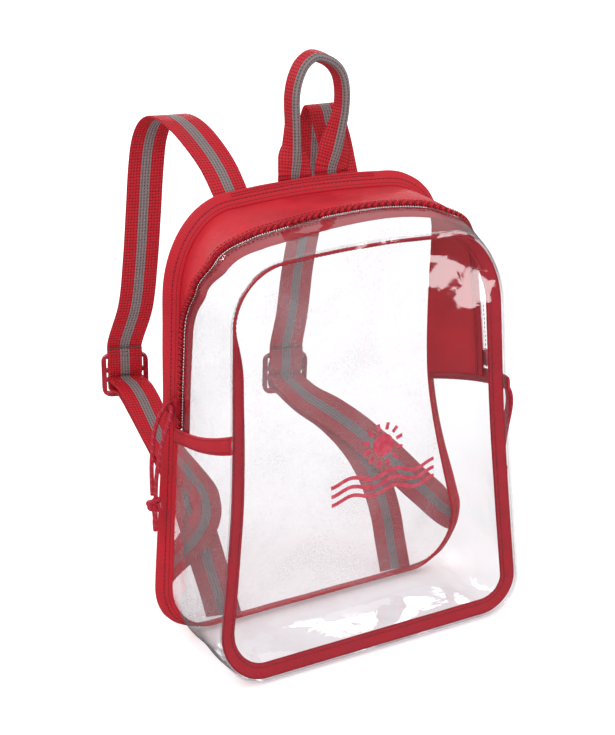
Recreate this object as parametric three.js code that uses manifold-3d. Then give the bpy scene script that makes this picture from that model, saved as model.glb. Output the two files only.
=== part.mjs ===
// Clear stadium backpack: a see-through vinyl body bound in red tape, a zipped top gusset with a
// red fabric strip, webbing shoulder straps with adjusters, a carry loop and two corded zip pulls.
// Millimetres, +Z up. The front faces -Y and the origin is the middle of the face it stands on.
import * as THREE from "three";
import Module from "manifold-3d";
import { mergeVertices } from "three/addons/utils/BufferGeometryUtils.js";

const wasm = await Module();
wasm.setup();

// Body
const bodyWidth = 230;
const bodyHeight = 302;
const bodyDepth = 86;
const frontDrop = 15.5;
const frontLean = 9;
const backFootRise = 6.5;
const frontFootRise = 3.5;
const topCrown = 2.5;
const shoulderRound = 45;
const footRound = 35;
const sheetWall = 1;
const panelCrown = 4;
const gap = 0.3;
const tuckGap = 0.6;

// Tape, zipper and bands
const flangeWidth = 10;
const flangeThickness = 2;
const innerTapeWidth = 10;
const innerTapeThickness = 1.8;
const bandWidth = 10;
const bandThickness = 1.8;
const zipTapeWidth = 3.1;
const zipTapeThickness = 1;
const zipTapeLap = 12;
const coilRadius = 1.6;
const coilShoulder = 0.55;

// Webbing, adjusters and carry loop
const webbingWidth = 25;
const webbingThickness = 1.5;
const strapReach = 134;
const hemLength = 21;
const handleHeight = 81.5;
const handleSpread = 51;
const handleX = 7.5;
const foldedAngle = 7;
const adjusterMargin = 1;
const adjusterRail = 3.5;
const adjusterHeight = 36;
const adjusterThickness = 3;
const adjusterBar = 2.4;
const adjusterRim = 3.5;
const adjusterRound = 7;
const strapRunIn = 8;
const lowerSweep = 0.72;

// Zip pulls
const sliderLength = 11;
const sliderWidth = 8;
const sliderThickness = 3;
const eyeRadius = 3.3;
const eyeWire = 0.8;
const bridgeWidth = 2.2;
const cordDiameter = 3;
const knotRadius = 5.6;
const cordTail = 13;

const halfWidth = bodyWidth / 2;
const backPlane = bodyDepth / 2;
const frontPlane = -bodyDepth / 2;

// Each side of each seam, as seen from the front. Shoulder, waist and foot are shares of half the
// width, waistUp is a share of the height, and the rounds are shares of the two named radii.
const seamSides = {
  back: {
    left: {
      shoulder: 0.857, waist: 0.898, waistUp: 0.545, foot: 0.98,
      roundAcross: 0.93, roundDown: 1.18, footAcross: 0.86, footUp: 1,
    },
    right: {
      shoulder: 0.857, waist: 0.843, waistUp: 0.505, foot: 1.04,
      roundAcross: 0.91, roundDown: 0.8, footAcross: 1, footUp: 1.2,
    },
  },
  front: {
    left: {
      shoulder: 0.889, waist: 0.935, waistUp: 0.444, foot: 1.03,
      roundAcross: 0.95, roundDown: 0.9, footAcross: 0.94, footUp: 1.2,
    },
    right: {
      shoulder: 0.889, waist: 0.925, waistUp: 0.465, foot: 1.004,
      roundAcross: 0.95, roundDown: 1.2, footAcross: 0.8, footUp: 0.8,
    },
  },
};

// Places round the body are counted in eight stretches, clockwise from the front: left side, left
// shoulder, top, right shoulder, right side, right foot, bottom, left foot.
const stretchSteps = [8, 7, 8, 7, 8, 6, 6, 6];
const stretches = stretchSteps.length;
const bands = {
  left: { back: 0.44, front: 0.66 },
  right: { back: 4.475, front: 4.345 },
};

// How far the gusset swells at each place, as a share of the depth.
const swellTable = [
  { place: 0, share: 0.02 },
  { place: 0.6, share: 0.05 },
  { place: 1, share: 0.02 },
  { place: 2.5, share: 0.035 },
  { place: 4, share: 0.085 },
  { place: 5, share: 0.075 },
  { place: 6.5, share: 0.1 },
  { place: 7.5, share: 0.04 },
  { place: 8, share: 0.02 },
];

// Soft dents in the gusset: place, share of the depth from the back, depth as a share of the
// body's depth, and spread in places.
const dentTable = [
  { place: 1.35, from: 0.2, depth: 0.016, spread: 0.16 },
  { place: 1.8, from: 0.24, depth: 0.02, spread: 0.2 },
  { place: 2.6, from: 0.18, depth: 0.017, spread: 0.22 },
  { place: 3.4, from: 0.25, depth: 0.02, spread: 0.2 },
  { place: 1.5, from: 0.75, depth: 0.02, spread: 0.15 },
  { place: 3.2, from: 0.72, depth: 0.025, spread: 0.18 },
  { place: 5.3, from: 0.6, depth: 0.03, spread: 0.25 },
  { place: 7.6, from: 0.5, depth: 0.025, spread: 0.3 },
];
const dentReach = 0.2;

// The zip line: share of the way from the left band to the right one, and share of the depth.
const zipTable = [
  { along: 0, from: 0.085 },
  { along: 0.09, from: 0.09 },
  { along: 0.16, from: 0.3 },
  { along: 0.23, from: 0.44 },
  { along: 0.34, from: 0.56 },
  { along: 0.56, from: 0.48 },
  { along: 0.72, from: 0.62 },
  { along: 0.87, from: 0.46 },
  { along: 1, from: 0.58 },
];

// How far the back seam's tape and the one inside the front seam lean back, in degrees.
const leanTable = [
  { place: 0, outer: 35, inner: 13 },
  { place: 0.5, outer: 60, inner: 16 },
  { place: 1, outer: 35, inner: 22 },
  { place: 2, outer: 35, inner: 70 },
  { place: 3, outer: 35, inner: 70 },
  { place: 4, outer: 38, inner: 18 },
  { place: 4.6, outer: 44, inner: 15 },
  { place: 5, outer: 27, inner: 13 },
  { place: 5.5, outer: 40, inner: 13 },
  { place: 6, outer: 72, inner: 15 },
  { place: 7, outer: 72, inner: 15 },
  { place: 8, outer: 35, inner: 13 },
];

// Routes of the webbing. Across is a share of half the width, back is a share of the strap's
// reach behind the body, up is a share of the height, and turn and tilt aim its width in degrees.
// CornerPlace is where the webbing meets the foot's tape, and cornerRise how far above it in
// millimetres it comes in.
const straps = {
  left: {
    topAcross: -0.475,
    topLayer: 0,
    cornerPlace: 0.04,
    cornerRise: 10,
    upper: [
      { across: -0.483, back: 0.17, up: 1.061, turn: -10, tilt: 0 },
      { across: -0.495, back: 0.284, up: 1.097, turn: -16, tilt: 0 },
      { across: -0.515, back: 0.43, up: 1.132, turn: -20, tilt: 0 },
      { across: -0.53, back: 0.56, up: 1.147, turn: -18, tilt: 0 },
      { across: -0.54, back: 0.672, up: 1.143, turn: -14, tilt: 0 },
      { across: -0.55, back: 0.77, up: 1.119, turn: -10, tilt: 0 },
      { across: -0.565, back: 0.822, up: 1.077, turn: -12, tilt: 0 },
      { across: -0.583, back: 0.838, up: 1.018, turn: -18, tilt: 0 },
      { across: -0.613, back: 0.84, up: 0.909, turn: -20, tilt: 0 },
      { across: -0.643, back: 0.846, up: 0.795, turn: -19, tilt: 0 },
      { across: -0.67, back: 0.884, up: 0.679, turn: -20, tilt: 0 },
    ],
    adjuster: { across: -0.694, back: 1.02, up: 0.492, turn: -20, lean: -12 },
    lower: [
      { across: -0.69, back: 0.91, up: 0.474, turn: -19, tilt: 0 },
      { across: -0.687, back: 0.82, up: 0.454, turn: -16, tilt: 0 },
      { across: -0.687, back: 0.717, up: 0.42, turn: -12, tilt: -2 },
      { across: -0.69, back: 0.565, up: 0.378, turn: -10, tilt: -5 },
      { across: -0.662, back: 0.351, up: 0.341, turn: -14, tilt: -12 },
      { across: -0.628, back: 0.232, up: 0.302, turn: -12, tilt: -22 },
      { across: -0.648, back: 0.157, up: 0.259, turn: -6, tilt: -35 },
      { across: -0.738, back: 0.112, up: 0.224, turn: 0, tilt: -46 },
    ],
    tail: [
      { across: -0.69, back: 0.9, up: 0.458, turn: -19, tilt: 0 },
      { across: -0.685, back: 0.79, up: 0.43, turn: -16, tilt: 0 },
      { across: -0.675, back: 0.69, up: 0.396, turn: -14, tilt: 0 },
      { across: -0.655, back: 0.56, up: 0.344, turn: -14, tilt: 0 },
      { across: -0.648, back: 0.418, up: 0.292, turn: -18, tilt: 0 },
      { across: -0.657, back: 0.29, up: 0.24, turn: -22, tilt: 2 },
      { across: -0.655, back: 0.205, up: 0.187, turn: -26, tilt: 4 },
      { across: -0.64, back: 0.15, up: 0.131, turn: -28, tilt: 6 },
      { across: -0.612, back: 0.12, up: 0.074, turn: -28, tilt: 6 },
      { across: -0.58, back: 0.1, up: 0.008, turn: -28, tilt: 6 },
    ],
  },
  right: {
    topAcross: 0.268,
    topLayer: 1,
    cornerPlace: 5.1,
    cornerRise: 0,
    upper: [
      { across: 0.278, back: 0.165, up: 1.088, turn: -8, tilt: 0 },
      { across: 0.287, back: 0.228, up: 1.129, turn: -8, tilt: 0 },
      { across: 0.295, back: 0.274, up: 1.156, turn: -7, tilt: 0 },
      { across: 0.3, back: 0.33, up: 1.16, turn: -6, tilt: 0 },
      { across: 0.304, back: 0.376, up: 1.137, turn: -4, tilt: 0 },
      { across: 0.313, back: 0.41, up: 1.071, turn: -3, tilt: 0 },
      { across: 0.322, back: 0.45, up: 0.977, turn: -5, tilt: 0 },
      { across: 0.343, back: 0.57, up: 0.853, turn: -6, tilt: 0 },
      { across: 0.365, back: 0.69, up: 0.732, turn: -8, tilt: 0 },
      { across: 0.383, back: 0.785, up: 0.606, turn: -12, tilt: 0 },
    ],
    adjuster: { across: 0.4, back: 0.905, up: 0.434, turn: -20, lean: -14 },
    lower: [
      { across: 0.4, back: 0.8, up: 0.414, turn: -19, tilt: 3 },
      { across: 0.42, back: 0.7, up: 0.398, turn: -17, tilt: 12 },
      { across: 0.5, back: 0.555, up: 0.372, turn: -12, tilt: 25 },
      { across: 0.588, back: 0.433, up: 0.341, turn: -8, tilt: 31 },
      { across: 0.666, back: 0.351, up: 0.308, turn: -5, tilt: 35 },
      { across: 0.759, back: 0.269, up: 0.268, turn: -3, tilt: 38 },
      { across: 0.858, back: 0.194, up: 0.22, turn: -2, tilt: 42 },
      { across: 0.95, back: 0.14, up: 0.18, turn: 0, tilt: 46 },
    ],
    tail: [
      { across: 0.402, back: 0.78, up: 0.395, turn: -19, tilt: 2 },
      { across: 0.44, back: 0.665, up: 0.376, turn: -16, tilt: 6 },
      { across: 0.52, back: 0.54, up: 0.345, turn: -12, tilt: 4 },
      { across: 0.59, back: 0.44, up: 0.303, turn: -8, tilt: 0 },
      { across: 0.64, back: 0.365, up: 0.258, turn: -6, tilt: 0 },
      { across: 0.675, back: 0.285, up: 0.199, turn: -5, tilt: 0 },
      { across: 0.69, back: 0.217, up: 0.131, turn: -5, tilt: 0 },
      { across: 0.683, back: 0.16, up: 0.067, turn: -5, tilt: 0 },
      { across: 0.675, back: 0.1, up: 0.005, turn: -5, tilt: 0 },
    ],
  },
};

// The carry loop: share of half its spread, share of its height, and how far its webbing is
// folded together, from 0 flat to 1 shut.
const handleTable = [
  { across: -0.52, up: 0.05, fold: 0 },
  { across: -0.46, up: 0.15, fold: 0.25 },
  { across: -0.42, up: 0.27, fold: 0.8 },
  { across: -0.42, up: 0.44, fold: 1 },
  { across: -0.42, up: 0.68, fold: 1 },
  { across: -0.3, up: 0.825, fold: 1 },
  { across: -0.1, up: 0.925, fold: 1 },
  { across: 0.19, up: 0.975, fold: 1 },
  { across: 0.49, up: 0.955, fold: 1 },
  { across: 0.79, up: 0.9, fold: 1 },
  { across: 0.99, up: 0.815, fold: 1 },
  { across: 1.08, up: 0.69, fold: 1 },
  { across: 1.06, up: 0.53, fold: 1 },
  { across: 0.93, up: 0.35, fold: 0.75 },
  { across: 0.76, up: 0.19, fold: 0.25 },
  { across: 0.58, up: 0.05, fold: 0 },
];

// The zip pulls: each slider's place along the zip, which way is out, its eye from its middle,
// the two strands' points from the eye and the knot's middle from it.
const pulls = {
  left: {
    along: 0.025,
    side: -1,
    hang: [4.5, 2, -0.3],
    rear: [
      [0, 0.2, 0], [0.1, 1.8, 0], [1.1, 3.6, -0.9], [3, 5, -3.2], [5.4, 5.6, -6.8],
      [7.6, 5.5, -11.4], [9.5, 5.1, -16.6], [11, 4.6, -22], [12.2, 4, -27.8], [13.1, 3.5, -33.8],
      [13.8, 3.1, -39.8], [14.2, 2.7, -45.6], [14.4, 2.4, -51], [14.5, 2.2, -56], [14.5, 2, -60.2],
    ],
    fore: [
      [0, -0.2, 0], [0.1, -1.8, 0], [0.8, -3.6, -0.9], [2, -4.8, -3.4], [3.6, -5.3, -7.2],
      [5.3, -5.2, -11.8], [7.1, -4.8, -17], [8.8, -4.3, -22.4], [10.2, -3.8, -28], [11.4, -3.3, -34],
      [12.4, -2.9, -39.8], [13.1, -2.5, -45.6], [13.6, -2.2, -51], [13.9, -2, -56], [14.1, -1.9, -60.2],
    ],
    knot: [14.3, 0, -66.3],
  },
  right: {
    along: 0.985,
    side: 1,
    hang: [8.4, -8.6, -17.7],
    rear: [
      [0, 0.2, 0], [0.3, 2, 0.1], [2.2, 4.2, 0.2], [5.2, 5.6, -0.8], [8.6, 6.2, -3.6],
      [11.2, 6.1, -8], [12.2, 5.6, -13.2], [11.9, 5, -18.8], [10.6, 4.4, -24.6], [8.9, 3.9, -30.6],
      [7.1, 3.4, -36.8], [5.6, 3, -42.8], [4.5, 2.6, -49], [3.8, 2.3, -54.8], [3.5, 2.1, -60.2],
    ],
    fore: [
      [0, -0.2, 0], [0.2, -2, 0.1], [1.5, -4, -0.2], [3.4, -5.2, -2.2], [5.4, -5.6, -5.8],
      [6.8, -5.5, -10.4], [7.3, -5.1, -15.6], [7.1, -4.6, -21], [6.4, -4.1, -26.6], [5.6, -3.6, -32.4],
      [4.8, -3.2, -38.4], [4.2, -2.8, -44.4], [3.8, -2.4, -50.2], [3.6, -2.2, -55.4], [3.5, -2, -60.2],
    ],
    knot: [3.5, 0, -66.3],
  },
};

const colours = {
  vinyl: { color: 0xeef0f4, roughness: 0.08, metalness: 0, opacity: 0.25, transparent: true },
  fabric: { color: 0xc3283a, roughness: 0.75, metalness: 0 },
  tape: { color: 0xbe2238, roughness: 0.7, metalness: 0 },
  webbing: { color: 0xc42440, roughness: 0.72, metalness: 0 },
  moulding: { color: 0xbf2540, roughness: 0.35, metalness: 0 },
  cord: { color: 0xc92744, roughness: 0.8, metalness: 0 },
};

const group = new THREE.Group();

// Adds a named sub-part in one of the colours.
function add(name, geometry, finish) {
  const mesh = new THREE.Mesh(geometry, new THREE.MeshStandardMaterial(colours[finish]));
  mesh.name = name;
  group.add(mesh);
  return mesh;
}

// The value of one column of a table at a position of another, eased between its rows.
function lookUp(table, key, at, column) {
  const last = table.length - 1;
  if (at <= table[0][key]) return table[0][column];
  if (at >= table[last][key]) return table[last][column];
  const next = table.findIndex((row) => row[key] > at);
  const [low, high] = [table[next - 1], table[next]];
  const share = THREE.MathUtils.smoothstep(at, low[key], high[key]);
  return THREE.MathUtils.lerp(low[column], high[column], share);
}

// One seam as eight plane curves in (x, z), from the left foot round the top.
function seamCurves(sides, top, base) {
  const point = (x, z) => new THREE.Vector2(x, z);
  const ends = {};
  for (const [side, sign] of [["left", -1], ["right", 1]]) {
    const row = sides[side];
    const foot = point(sign * row.foot * halfWidth, base + row.footUp * footRound);
    const waist = point(sign * row.waist * halfWidth, row.waistUp * bodyHeight);
    const shoulder = point(sign * row.shoulder * halfWidth, top - row.roundDown * shoulderRound);
    const crown = point(shoulder.x - sign * row.roundAcross * shoulderRound, top);
    const sole = point(foot.x - sign * row.footAcross * footRound, base);
    ends[side] = { sign, foot, waist, shoulder, crown, sole };
  }
  const fullness = 0.55;
  const rise = (from, to, length) => to.clone().sub(from).normalize().multiplyScalar(length).add(to);
  const shoulderCurve = ({ waist, shoulder, crown, sign }) => new THREE.CubicBezierCurve(
    shoulder,
    rise(waist, shoulder, fullness * (crown.y - shoulder.y)),
    point(crown.x + sign * fullness * Math.abs(shoulder.x - crown.x), crown.y),
    crown,
  );
  const footCurve = ({ waist, foot, sole, sign }) => new THREE.CubicBezierCurve(
    sole,
    point(sole.x + sign * fullness * Math.abs(foot.x - sole.x), sole.y),
    rise(waist, foot, fullness * (foot.y - sole.y)),
    foot,
  );
  const flip = (curve) => new THREE.CubicBezierCurve(curve.v3, curve.v2, curve.v1, curve.v0);
  const { left, right } = ends;
  const middle = point((left.crown.x + right.crown.x) / 2, top + 2 * topCrown);
  return [
    new THREE.SplineCurve([left.foot, left.waist, left.shoulder]),
    shoulderCurve(left),
    new THREE.QuadraticBezierCurve(left.crown, middle, right.crown),
    flip(shoulderCurve(right)),
    new THREE.SplineCurve([right.shoulder, right.waist, right.foot]),
    flip(footCurve(right)),
    new THREE.LineCurve(right.sole, left.sole),
    footCurve(left),
  ];
}

const backSeam = seamCurves(seamSides.back, bodyHeight - topCrown, backFootRise);
const frontTop = bodyHeight - frontDrop - topCrown;
const frontSeam = seamCurves(seamSides.front, frontTop, frontFootRise);

// A seam's point at a place round the body, in (x, z).
function onSeam(curves, place) {
  const turn = THREE.MathUtils.euclideanModulo(place, stretches);
  const index = Math.floor(turn);
  return curves[index].getPoint(turn - index);
}

const sideLength = onSeam(backSeam, 0).distanceTo(onSeam(backSeam, 1));
const frontY = (z) => frontPlane + (frontLean * z) / bodyHeight;

// The gusset's outer face at a place round the body and a share of the way from back to front,
// raised outwards by lift.
function onGusset(place, from, lift) {
  const blend = (at) => onSeam(backSeam, at).lerp(onSeam(frontSeam, at), from);
  const step = 0.02;
  const along = blend(place + step).sub(blend(place - step)).normalize();
  const turn = THREE.MathUtils.euclideanModulo(place, stretches);
  const arch = 4 * from * (1 - from);
  let out = lift + lookUp(swellTable, "place", turn, "share") * bodyDepth * arch;
  for (const dent of dentTable) {
    const distance = Math.hypot((turn - dent.place) / dent.spread, (from - dent.from) / dentReach);
    out -= dent.depth * bodyDepth * Math.exp(-distance * distance) * arch;
  }
  const flat = blend(place);
  const x = flat.x - along.y * out;
  const z = Math.max(flat.y + along.x * out, Math.max(-lift, 0));
  const y = THREE.MathUtils.lerp(backPlane, frontY(flat.y), from);
  return new THREE.Vector3(x, y, z);
}

// The outward direction of a seam in the plane of the panel.
function seamNormal(curves, place) {
  const step = 0.02;
  const along = onSeam(curves, place + step).sub(onSeam(curves, place - step)).normalize();
  return new THREE.Vector3(-along.y, 0, along.x);
}

// The places from one to another at which the body is cut into sections.
function placesBetween(start, end) {
  const places = [start];
  for (let stretch = Math.floor(start); stretch < end; stretch += 1) {
    const steps = stretchSteps[stretch % stretches];
    for (let i = 0; i < steps; i += 1) {
      const place = stretch + i / steps;
      if (place > start + 0.3 / steps && place < end - 0.3 / steps) places.push(place);
    }
  }
  places.push(end);
  return places;
}

// A closed solid through sections, each with an outer and an inner row of as many points.
function loft(sections, ring = false) {
  const size = sections[0].outer.length;
  const positions = sections.flatMap(({ outer, inner }) => [...outer, ...[...inner].reverse()]);
  const vertices = new Float32Array(positions.flatMap((point) => point.toArray()));
  const index = [];
  const across = 2 * size;
  const quad = (a, b, c, d) => index.push(a, b, c, a, c, d);
  const count = sections.length;
  for (let i = 0; i < (ring ? count : count - 1); i += 1) {
    const here = i * across;
    const next = ((i + 1) % count) * across;
    for (let j = 0; j < across; j += 1) {
      const k = (j + 1) % across;
      quad(here + j, next + j, next + k, here + k);
    }
  }
  if (!ring) {
    const end = (count - 1) * across;
    for (let j = 0; j < size - 1; j += 1) {
      const twin = across - 1 - j;
      quad(j, j + 1, twin - 1, twin);
      quad(end + j, end + twin, end + twin - 1, end + j + 1);
    }
  }
  return facingOut(vertices, index);
}

// An indexed geometry whose faces point out of the solid.
function facingOut(vertices, index) {
  const corner = (i) => new THREE.Vector3().fromArray(vertices, 3 * index[i]);
  let volume = 0;
  for (let i = 0; i < index.length; i += 3) {
    volume += corner(i).dot(corner(i + 1).cross(corner(i + 2)));
  }
  const faces = volume > 0 ? index : index.slice().reverse();
  const geometry = new THREE.BufferGeometry();
  geometry.setAttribute("position", new THREE.BufferAttribute(vertices, 3));
  geometry.setIndex(faces);
  geometry.computeVertexNormals();
  return geometry;
}

// A closed geometry as a solid that can be cut or joined, and back.
function solidOf(geometry, matrix = new THREE.Matrix4()) {
  const bare = (geometry.index ? geometry.toNonIndexed() : geometry.clone()).applyMatrix4(matrix);
  bare.deleteAttribute("normal");
  bare.deleteAttribute("uv");
  const merged = mergeVertices(bare, 1e-4);
  return new wasm.Manifold(new wasm.Mesh({
    numProp: 3,
    vertProperties: merged.attributes.position.array,
    triVerts: new Uint32Array(merged.index.array),
  }));
}

function geometryOf(solid) {
  const mesh = solid.getMesh();
  const geometry = new THREE.BufferGeometry();
  geometry.setAttribute("position", new THREE.BufferAttribute(mesh.vertProperties, 3));
  geometry.setIndex(new THREE.BufferAttribute(mesh.triVerts, 1));
  geometry.computeVertexNormals();
  return geometry;
}

// A panel inside its seam: rings of points about its middle, domed away from the body.
function panel(curves, height, yAt, outward) {
  const rings = [1, 0.8, 0.55, 0.28];
  const rim = placesBetween(0, stretches).slice(0, -1);
  const middle = new THREE.Vector2(0, height / 2);
  const vertices = [];
  const put = (flat, ring, depth) => {
    const y = yAt(flat.y) + outward * (depth + panelCrown * (1 - ring * ring));
    vertices.push(flat.x, y, flat.y);
  };
  for (const depth of [0, sheetWall]) {
    for (const ring of rings) {
      for (const place of rim) {
        put(middle.clone().lerp(onSeam(curves, place), ring), ring, depth);
      }
    }
    put(middle, 0, depth);
  }
  const index = [];
  const count = rim.length;
  const face = count * rings.length + 1;
  for (let i = 0; i < count; i += 1) {
    const next = (i + 1) % count;
    for (const [base, flip] of [[0, false], [face, true]]) {
      const push = (a, b, c) => index.push(...(flip ? [a, c, b] : [a, b, c]));
      for (let ring = 0; ring < rings.length - 1; ring += 1) {
        const outer = base + ring * count;
        const inner = outer + count;
        push(outer + i, outer + next, inner + next);
        push(outer + i, inner + next, inner + i);
      }
      const last = base + (rings.length - 1) * count;
      push(last + i, last + next, base + face - 1);
    }
    index.push(i, face + i, face + next);
    index.push(i, face + next, next);
  }
  return facingOut(new Float32Array(vertices), index);
}

// A strip of the gusset between two lines, each a share of the depth at a place, cut by the
// bands at both ends. Lifts are the heights of its outer and inner faces.
function gussetStrip(run, edges, lifts, steps) {
  const sections = run.map((row) => {
    const section = { outer: [], inner: [] };
    for (let j = 0; j <= steps; j += 1) {
      const from = THREE.MathUtils.lerp(edges.back(row.along), edges.front(row.along), j / steps);
      section.outer.push(onGusset(row.placeAt(from), from, lifts.outer));
      section.inner.push(onGusset(row.placeAt(from), from, lifts.inner));
    }
    return section;
  });
  return loft(sections);
}

// The sections of a run from one band to the other, each slanted as the bands slant, with a
// length left bare beside each band.
function runBetween(startBand, endBand, wrap, bare) {
  const mean = (band) => (band.back + band.front) / 2;
  const start = mean(startBand);
  const end = mean(endBand) + wrap;
  const trim = bare / sideLength / (end - start);
  const inside = placesBetween(start, end)
    .map((place) => (place - start) / (end - start))
    .filter((along) => along > 2 * trim && along < 1 - 2 * trim);
  return [trim, ...inside, 1 - trim].map((along) => {
    const placeAt = (from) => {
      const first = THREE.MathUtils.lerp(startBand.back, startBand.front, from);
      const last = THREE.MathUtils.lerp(endBand.back, endBand.front, from) + wrap;
      return THREE.MathUtils.lerp(first, last, along);
    };
    return { along, placeAt };
  });
}

const seamShare = gap / bodyDepth;
const wallLifts = { outer: 0, inner: -sheetWall };
const zipFrom = (along) => lookUp(zipTable, "along", along, "from");
const coilShare = (coilRadius + 2 * gap) / bodyDepth;
const tapeShare = zipTapeWidth / bodyDepth;
const stripShare = coilShare + tapeShare + seamShare;

// Body panels and gussets
function addBody() {
  add("back_panel", panel(backSeam, bodyHeight, () => backPlane, 1), "vinyl");
  add("front_panel", panel(frontSeam, bodyHeight - frontDrop, frontY, -1), "vinyl");
  const whole = { back: () => seamShare, front: () => 1 - seamShare };
  const lowerRun = runBetween(bands.right, bands.left, stretches, gap);
  add("lower_gusset", gussetStrip(lowerRun, whole, wallLifts, 5), "vinyl");
  const upperRun = runBetween(bands.left, bands.right, 0, gap);
  const fabricEdges = { back: () => seamShare, front: (along) => zipFrom(along) - stripShare };
  add("upper_gusset_fabric", gussetStrip(upperRun, fabricEdges, wallLifts, 3), "fabric");
  const clearEdges = { back: (along) => zipFrom(along) + stripShare, front: () => 1 - seamShare };
  add("upper_gusset_clear", gussetStrip(upperRun, clearEdges, wallLifts, 4), "vinyl");
  const tapeLifts = { outer: 0, inner: -zipTapeThickness };
  const lapLifts = { outer: -sheetWall - gap, inner: -sheetWall - gap - zipTapeThickness };
  const backTape = {
    back: (along) => zipFrom(along) - coilShare - tapeShare,
    front: (along) => zipFrom(along) - coilShare,
  };
  const frontTape = {
    back: (along) => zipFrom(along) + coilShare,
    front: (along) => zipFrom(along) + coilShare + tapeShare + zipTapeLap / bodyDepth,
  };
  add("zipper_tape_back", gussetStrip(upperRun, backTape, tapeLifts, 1), "tape");
  add("zipper_tape_front", gussetStrip(upperRun, frontTape, lapLifts, 2), "tape");
  add("zipper_coil", coil(runBetween(bands.left, bands.right, 0, bandWidth / 2 + 2 * gap)), "moulding");
}

// The closed coil of the zip: an eight-sided bar along the zip line, half sunk between the tapes.
function coil(run) {
  const share = coilRadius / bodyDepth;
  const sections = run.map((row) => {
    const from = zipFrom(row.along);
    const at = (side, lift) => onGusset(row.placeAt(from), from + side * share, lift);
    const flat = coilShoulder;
    return {
      outer: [at(-1, 0), at(-flat, coilRadius), at(flat, coilRadius), at(1, 0)],
      inner: [at(-1, -flat), at(-flat, -coilRadius), at(flat, -coilRadius), at(1, -flat)],
    };
  });
  return loft(sections);
}

// The tape that binds the back seam, a flange that leans back from it.
function onFlange(place, across, height) {
  const seam = onSeam(backSeam, place);
  const lean = THREE.MathUtils.degToRad(lookUp(leanTable, "place", place % stretches, "outer"));
  const normal = seamNormal(backSeam, place);
  const out = gap + flangeThickness * Math.sin(lean) + across * Math.cos(lean);
  const back = gap + across * Math.sin(lean);
  const point = new THREE.Vector3(seam.x, backPlane + back + height * Math.cos(lean), seam.y);
  return point.addScaledVector(normal, out - height * Math.sin(lean));
}

function backBinding() {
  const places = placesBetween(0, stretches).slice(0, -1);
  return loft(places.map((place) => ({
    outer: [0, 0.5, 1].map((share) => onFlange(place, share * flangeWidth, 0)),
    inner: [0, 0.5, 1].map((share) => onFlange(place, share * flangeWidth, flangeThickness)),
  })), true);
}

// The tape on the front seam's allowance, inside the body.
function frontBinding() {
  const places = placesBetween(0, stretches).slice(0, -1);
  const at = (place, across, height) => {
    const seam = onSeam(frontSeam, place);
    const lean = THREE.MathUtils.degToRad(lookUp(leanTable, "place", place, "inner"));
    const normal = seamNormal(frontSeam, place);
    const inset = sheetWall + 2 * gap + innerTapeThickness * Math.sin(lean) + across * Math.cos(lean);
    const point = new THREE.Vector3(seam.x, 0, seam.y);
    point.addScaledVector(normal, height * Math.sin(lean) - inset);
    point.y = frontY(point.z) + 2 * gap + across * Math.sin(lean) + height * Math.cos(lean);
    return point;
  };
  return loft(places.map((place) => ({
    outer: [at(place, 0, 0), at(place, innerTapeWidth, 0)],
    inner: [at(place, 0, innerTapeThickness), at(place, innerTapeWidth, innerTapeThickness)],
  })), true);
}

// A tape over the joint between the upper and the lower gusset.
function sideBand(band) {
  const steps = 7;
  const half = bandWidth / 2 / sideLength;
  const sections = [];
  for (let i = 0; i <= steps; i += 1) {
    const from = THREE.MathUtils.lerp(2 * seamShare, 1 - 2 * seamShare, i / steps);
    const place = THREE.MathUtils.lerp(band.back, band.front, from);
    const row = (lift) => [-1, 0, 1].map((side) => onGusset(place + side * half, from, lift));
    sections.push({ outer: row(gap + bandThickness), inner: row(gap) });
  }
  return loft(sections);
}

// A length of webbing through stations, each a place and the direction of the width there.
const stationSteps = 2;

function webbing(stations) {
  const path = new THREE.CatmullRomCurve3(stations.map((row) => row.place), false, "centripetal");
  const spans = stations.length - 1;
  const sections = [];
  for (let i = 0; i <= spans * stationSteps; i += 1) {
    const along = i / (spans * stationSteps);
    const low = Math.min(Math.floor(along * spans), spans - 1);
    const share = along * spans - low;
    const aim = stations[low].aim.clone().lerp(stations[low + 1].aim, share).normalize();
    const tangent = path.getTangent(along);
    const normal = tangent.clone().cross(aim);
    const slant = normal.length();
    normal.normalize().multiplyScalar(webbingThickness / 2);
    const middle = path.getPoint(along);
    const reach = aim.multiplyScalar(webbingWidth / 2 / slant);
    const row = (side) => [-1, 1].map((end) => middle.clone()
      .addScaledVector(reach, end)
      .addScaledVector(normal, side));
    sections.push({ outer: row(1), inner: row(-1) });
  }
  return loft(sections);
}

// A station of a strap's table in millimetres.
function station({ across, back, up, turn, tilt }) {
  const place = new THREE.Vector3(across * halfWidth, backPlane + back * strapReach, up * bodyHeight);
  return { place, aim: aimOf(turn, tilt) };
}

function aimOf(turn, tilt) {
  const [yaw, rise] = [turn, tilt].map(THREE.MathUtils.degToRad);
  return new THREE.Vector3(Math.cos(yaw) * Math.cos(rise), Math.sin(yaw) * Math.cos(rise), Math.sin(rise));
}

// An adjuster's own axes: across its webbing, up along it, and towards the body.
function adjusterAxes({ across, back, up, turn, lean }) {
  const middle = new THREE.Vector3(across * halfWidth, backPlane + back * strapReach, up * bodyHeight);
  const acrossAxis = aimOf(turn, 0);
  const upAxis = new THREE.Vector3(0, 0, 1).applyAxisAngle(acrossAxis, THREE.MathUtils.degToRad(-lean));
  const towards = acrossAxis.clone().cross(upAxis).negate().normalize();
  if (towards.y > 0) towards.negate();
  const at = (rise, out) => middle.clone().addScaledVector(upAxis, rise).addScaledVector(towards, out);
  return { middle, acrossAxis, upAxis, towards, at };
}

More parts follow.
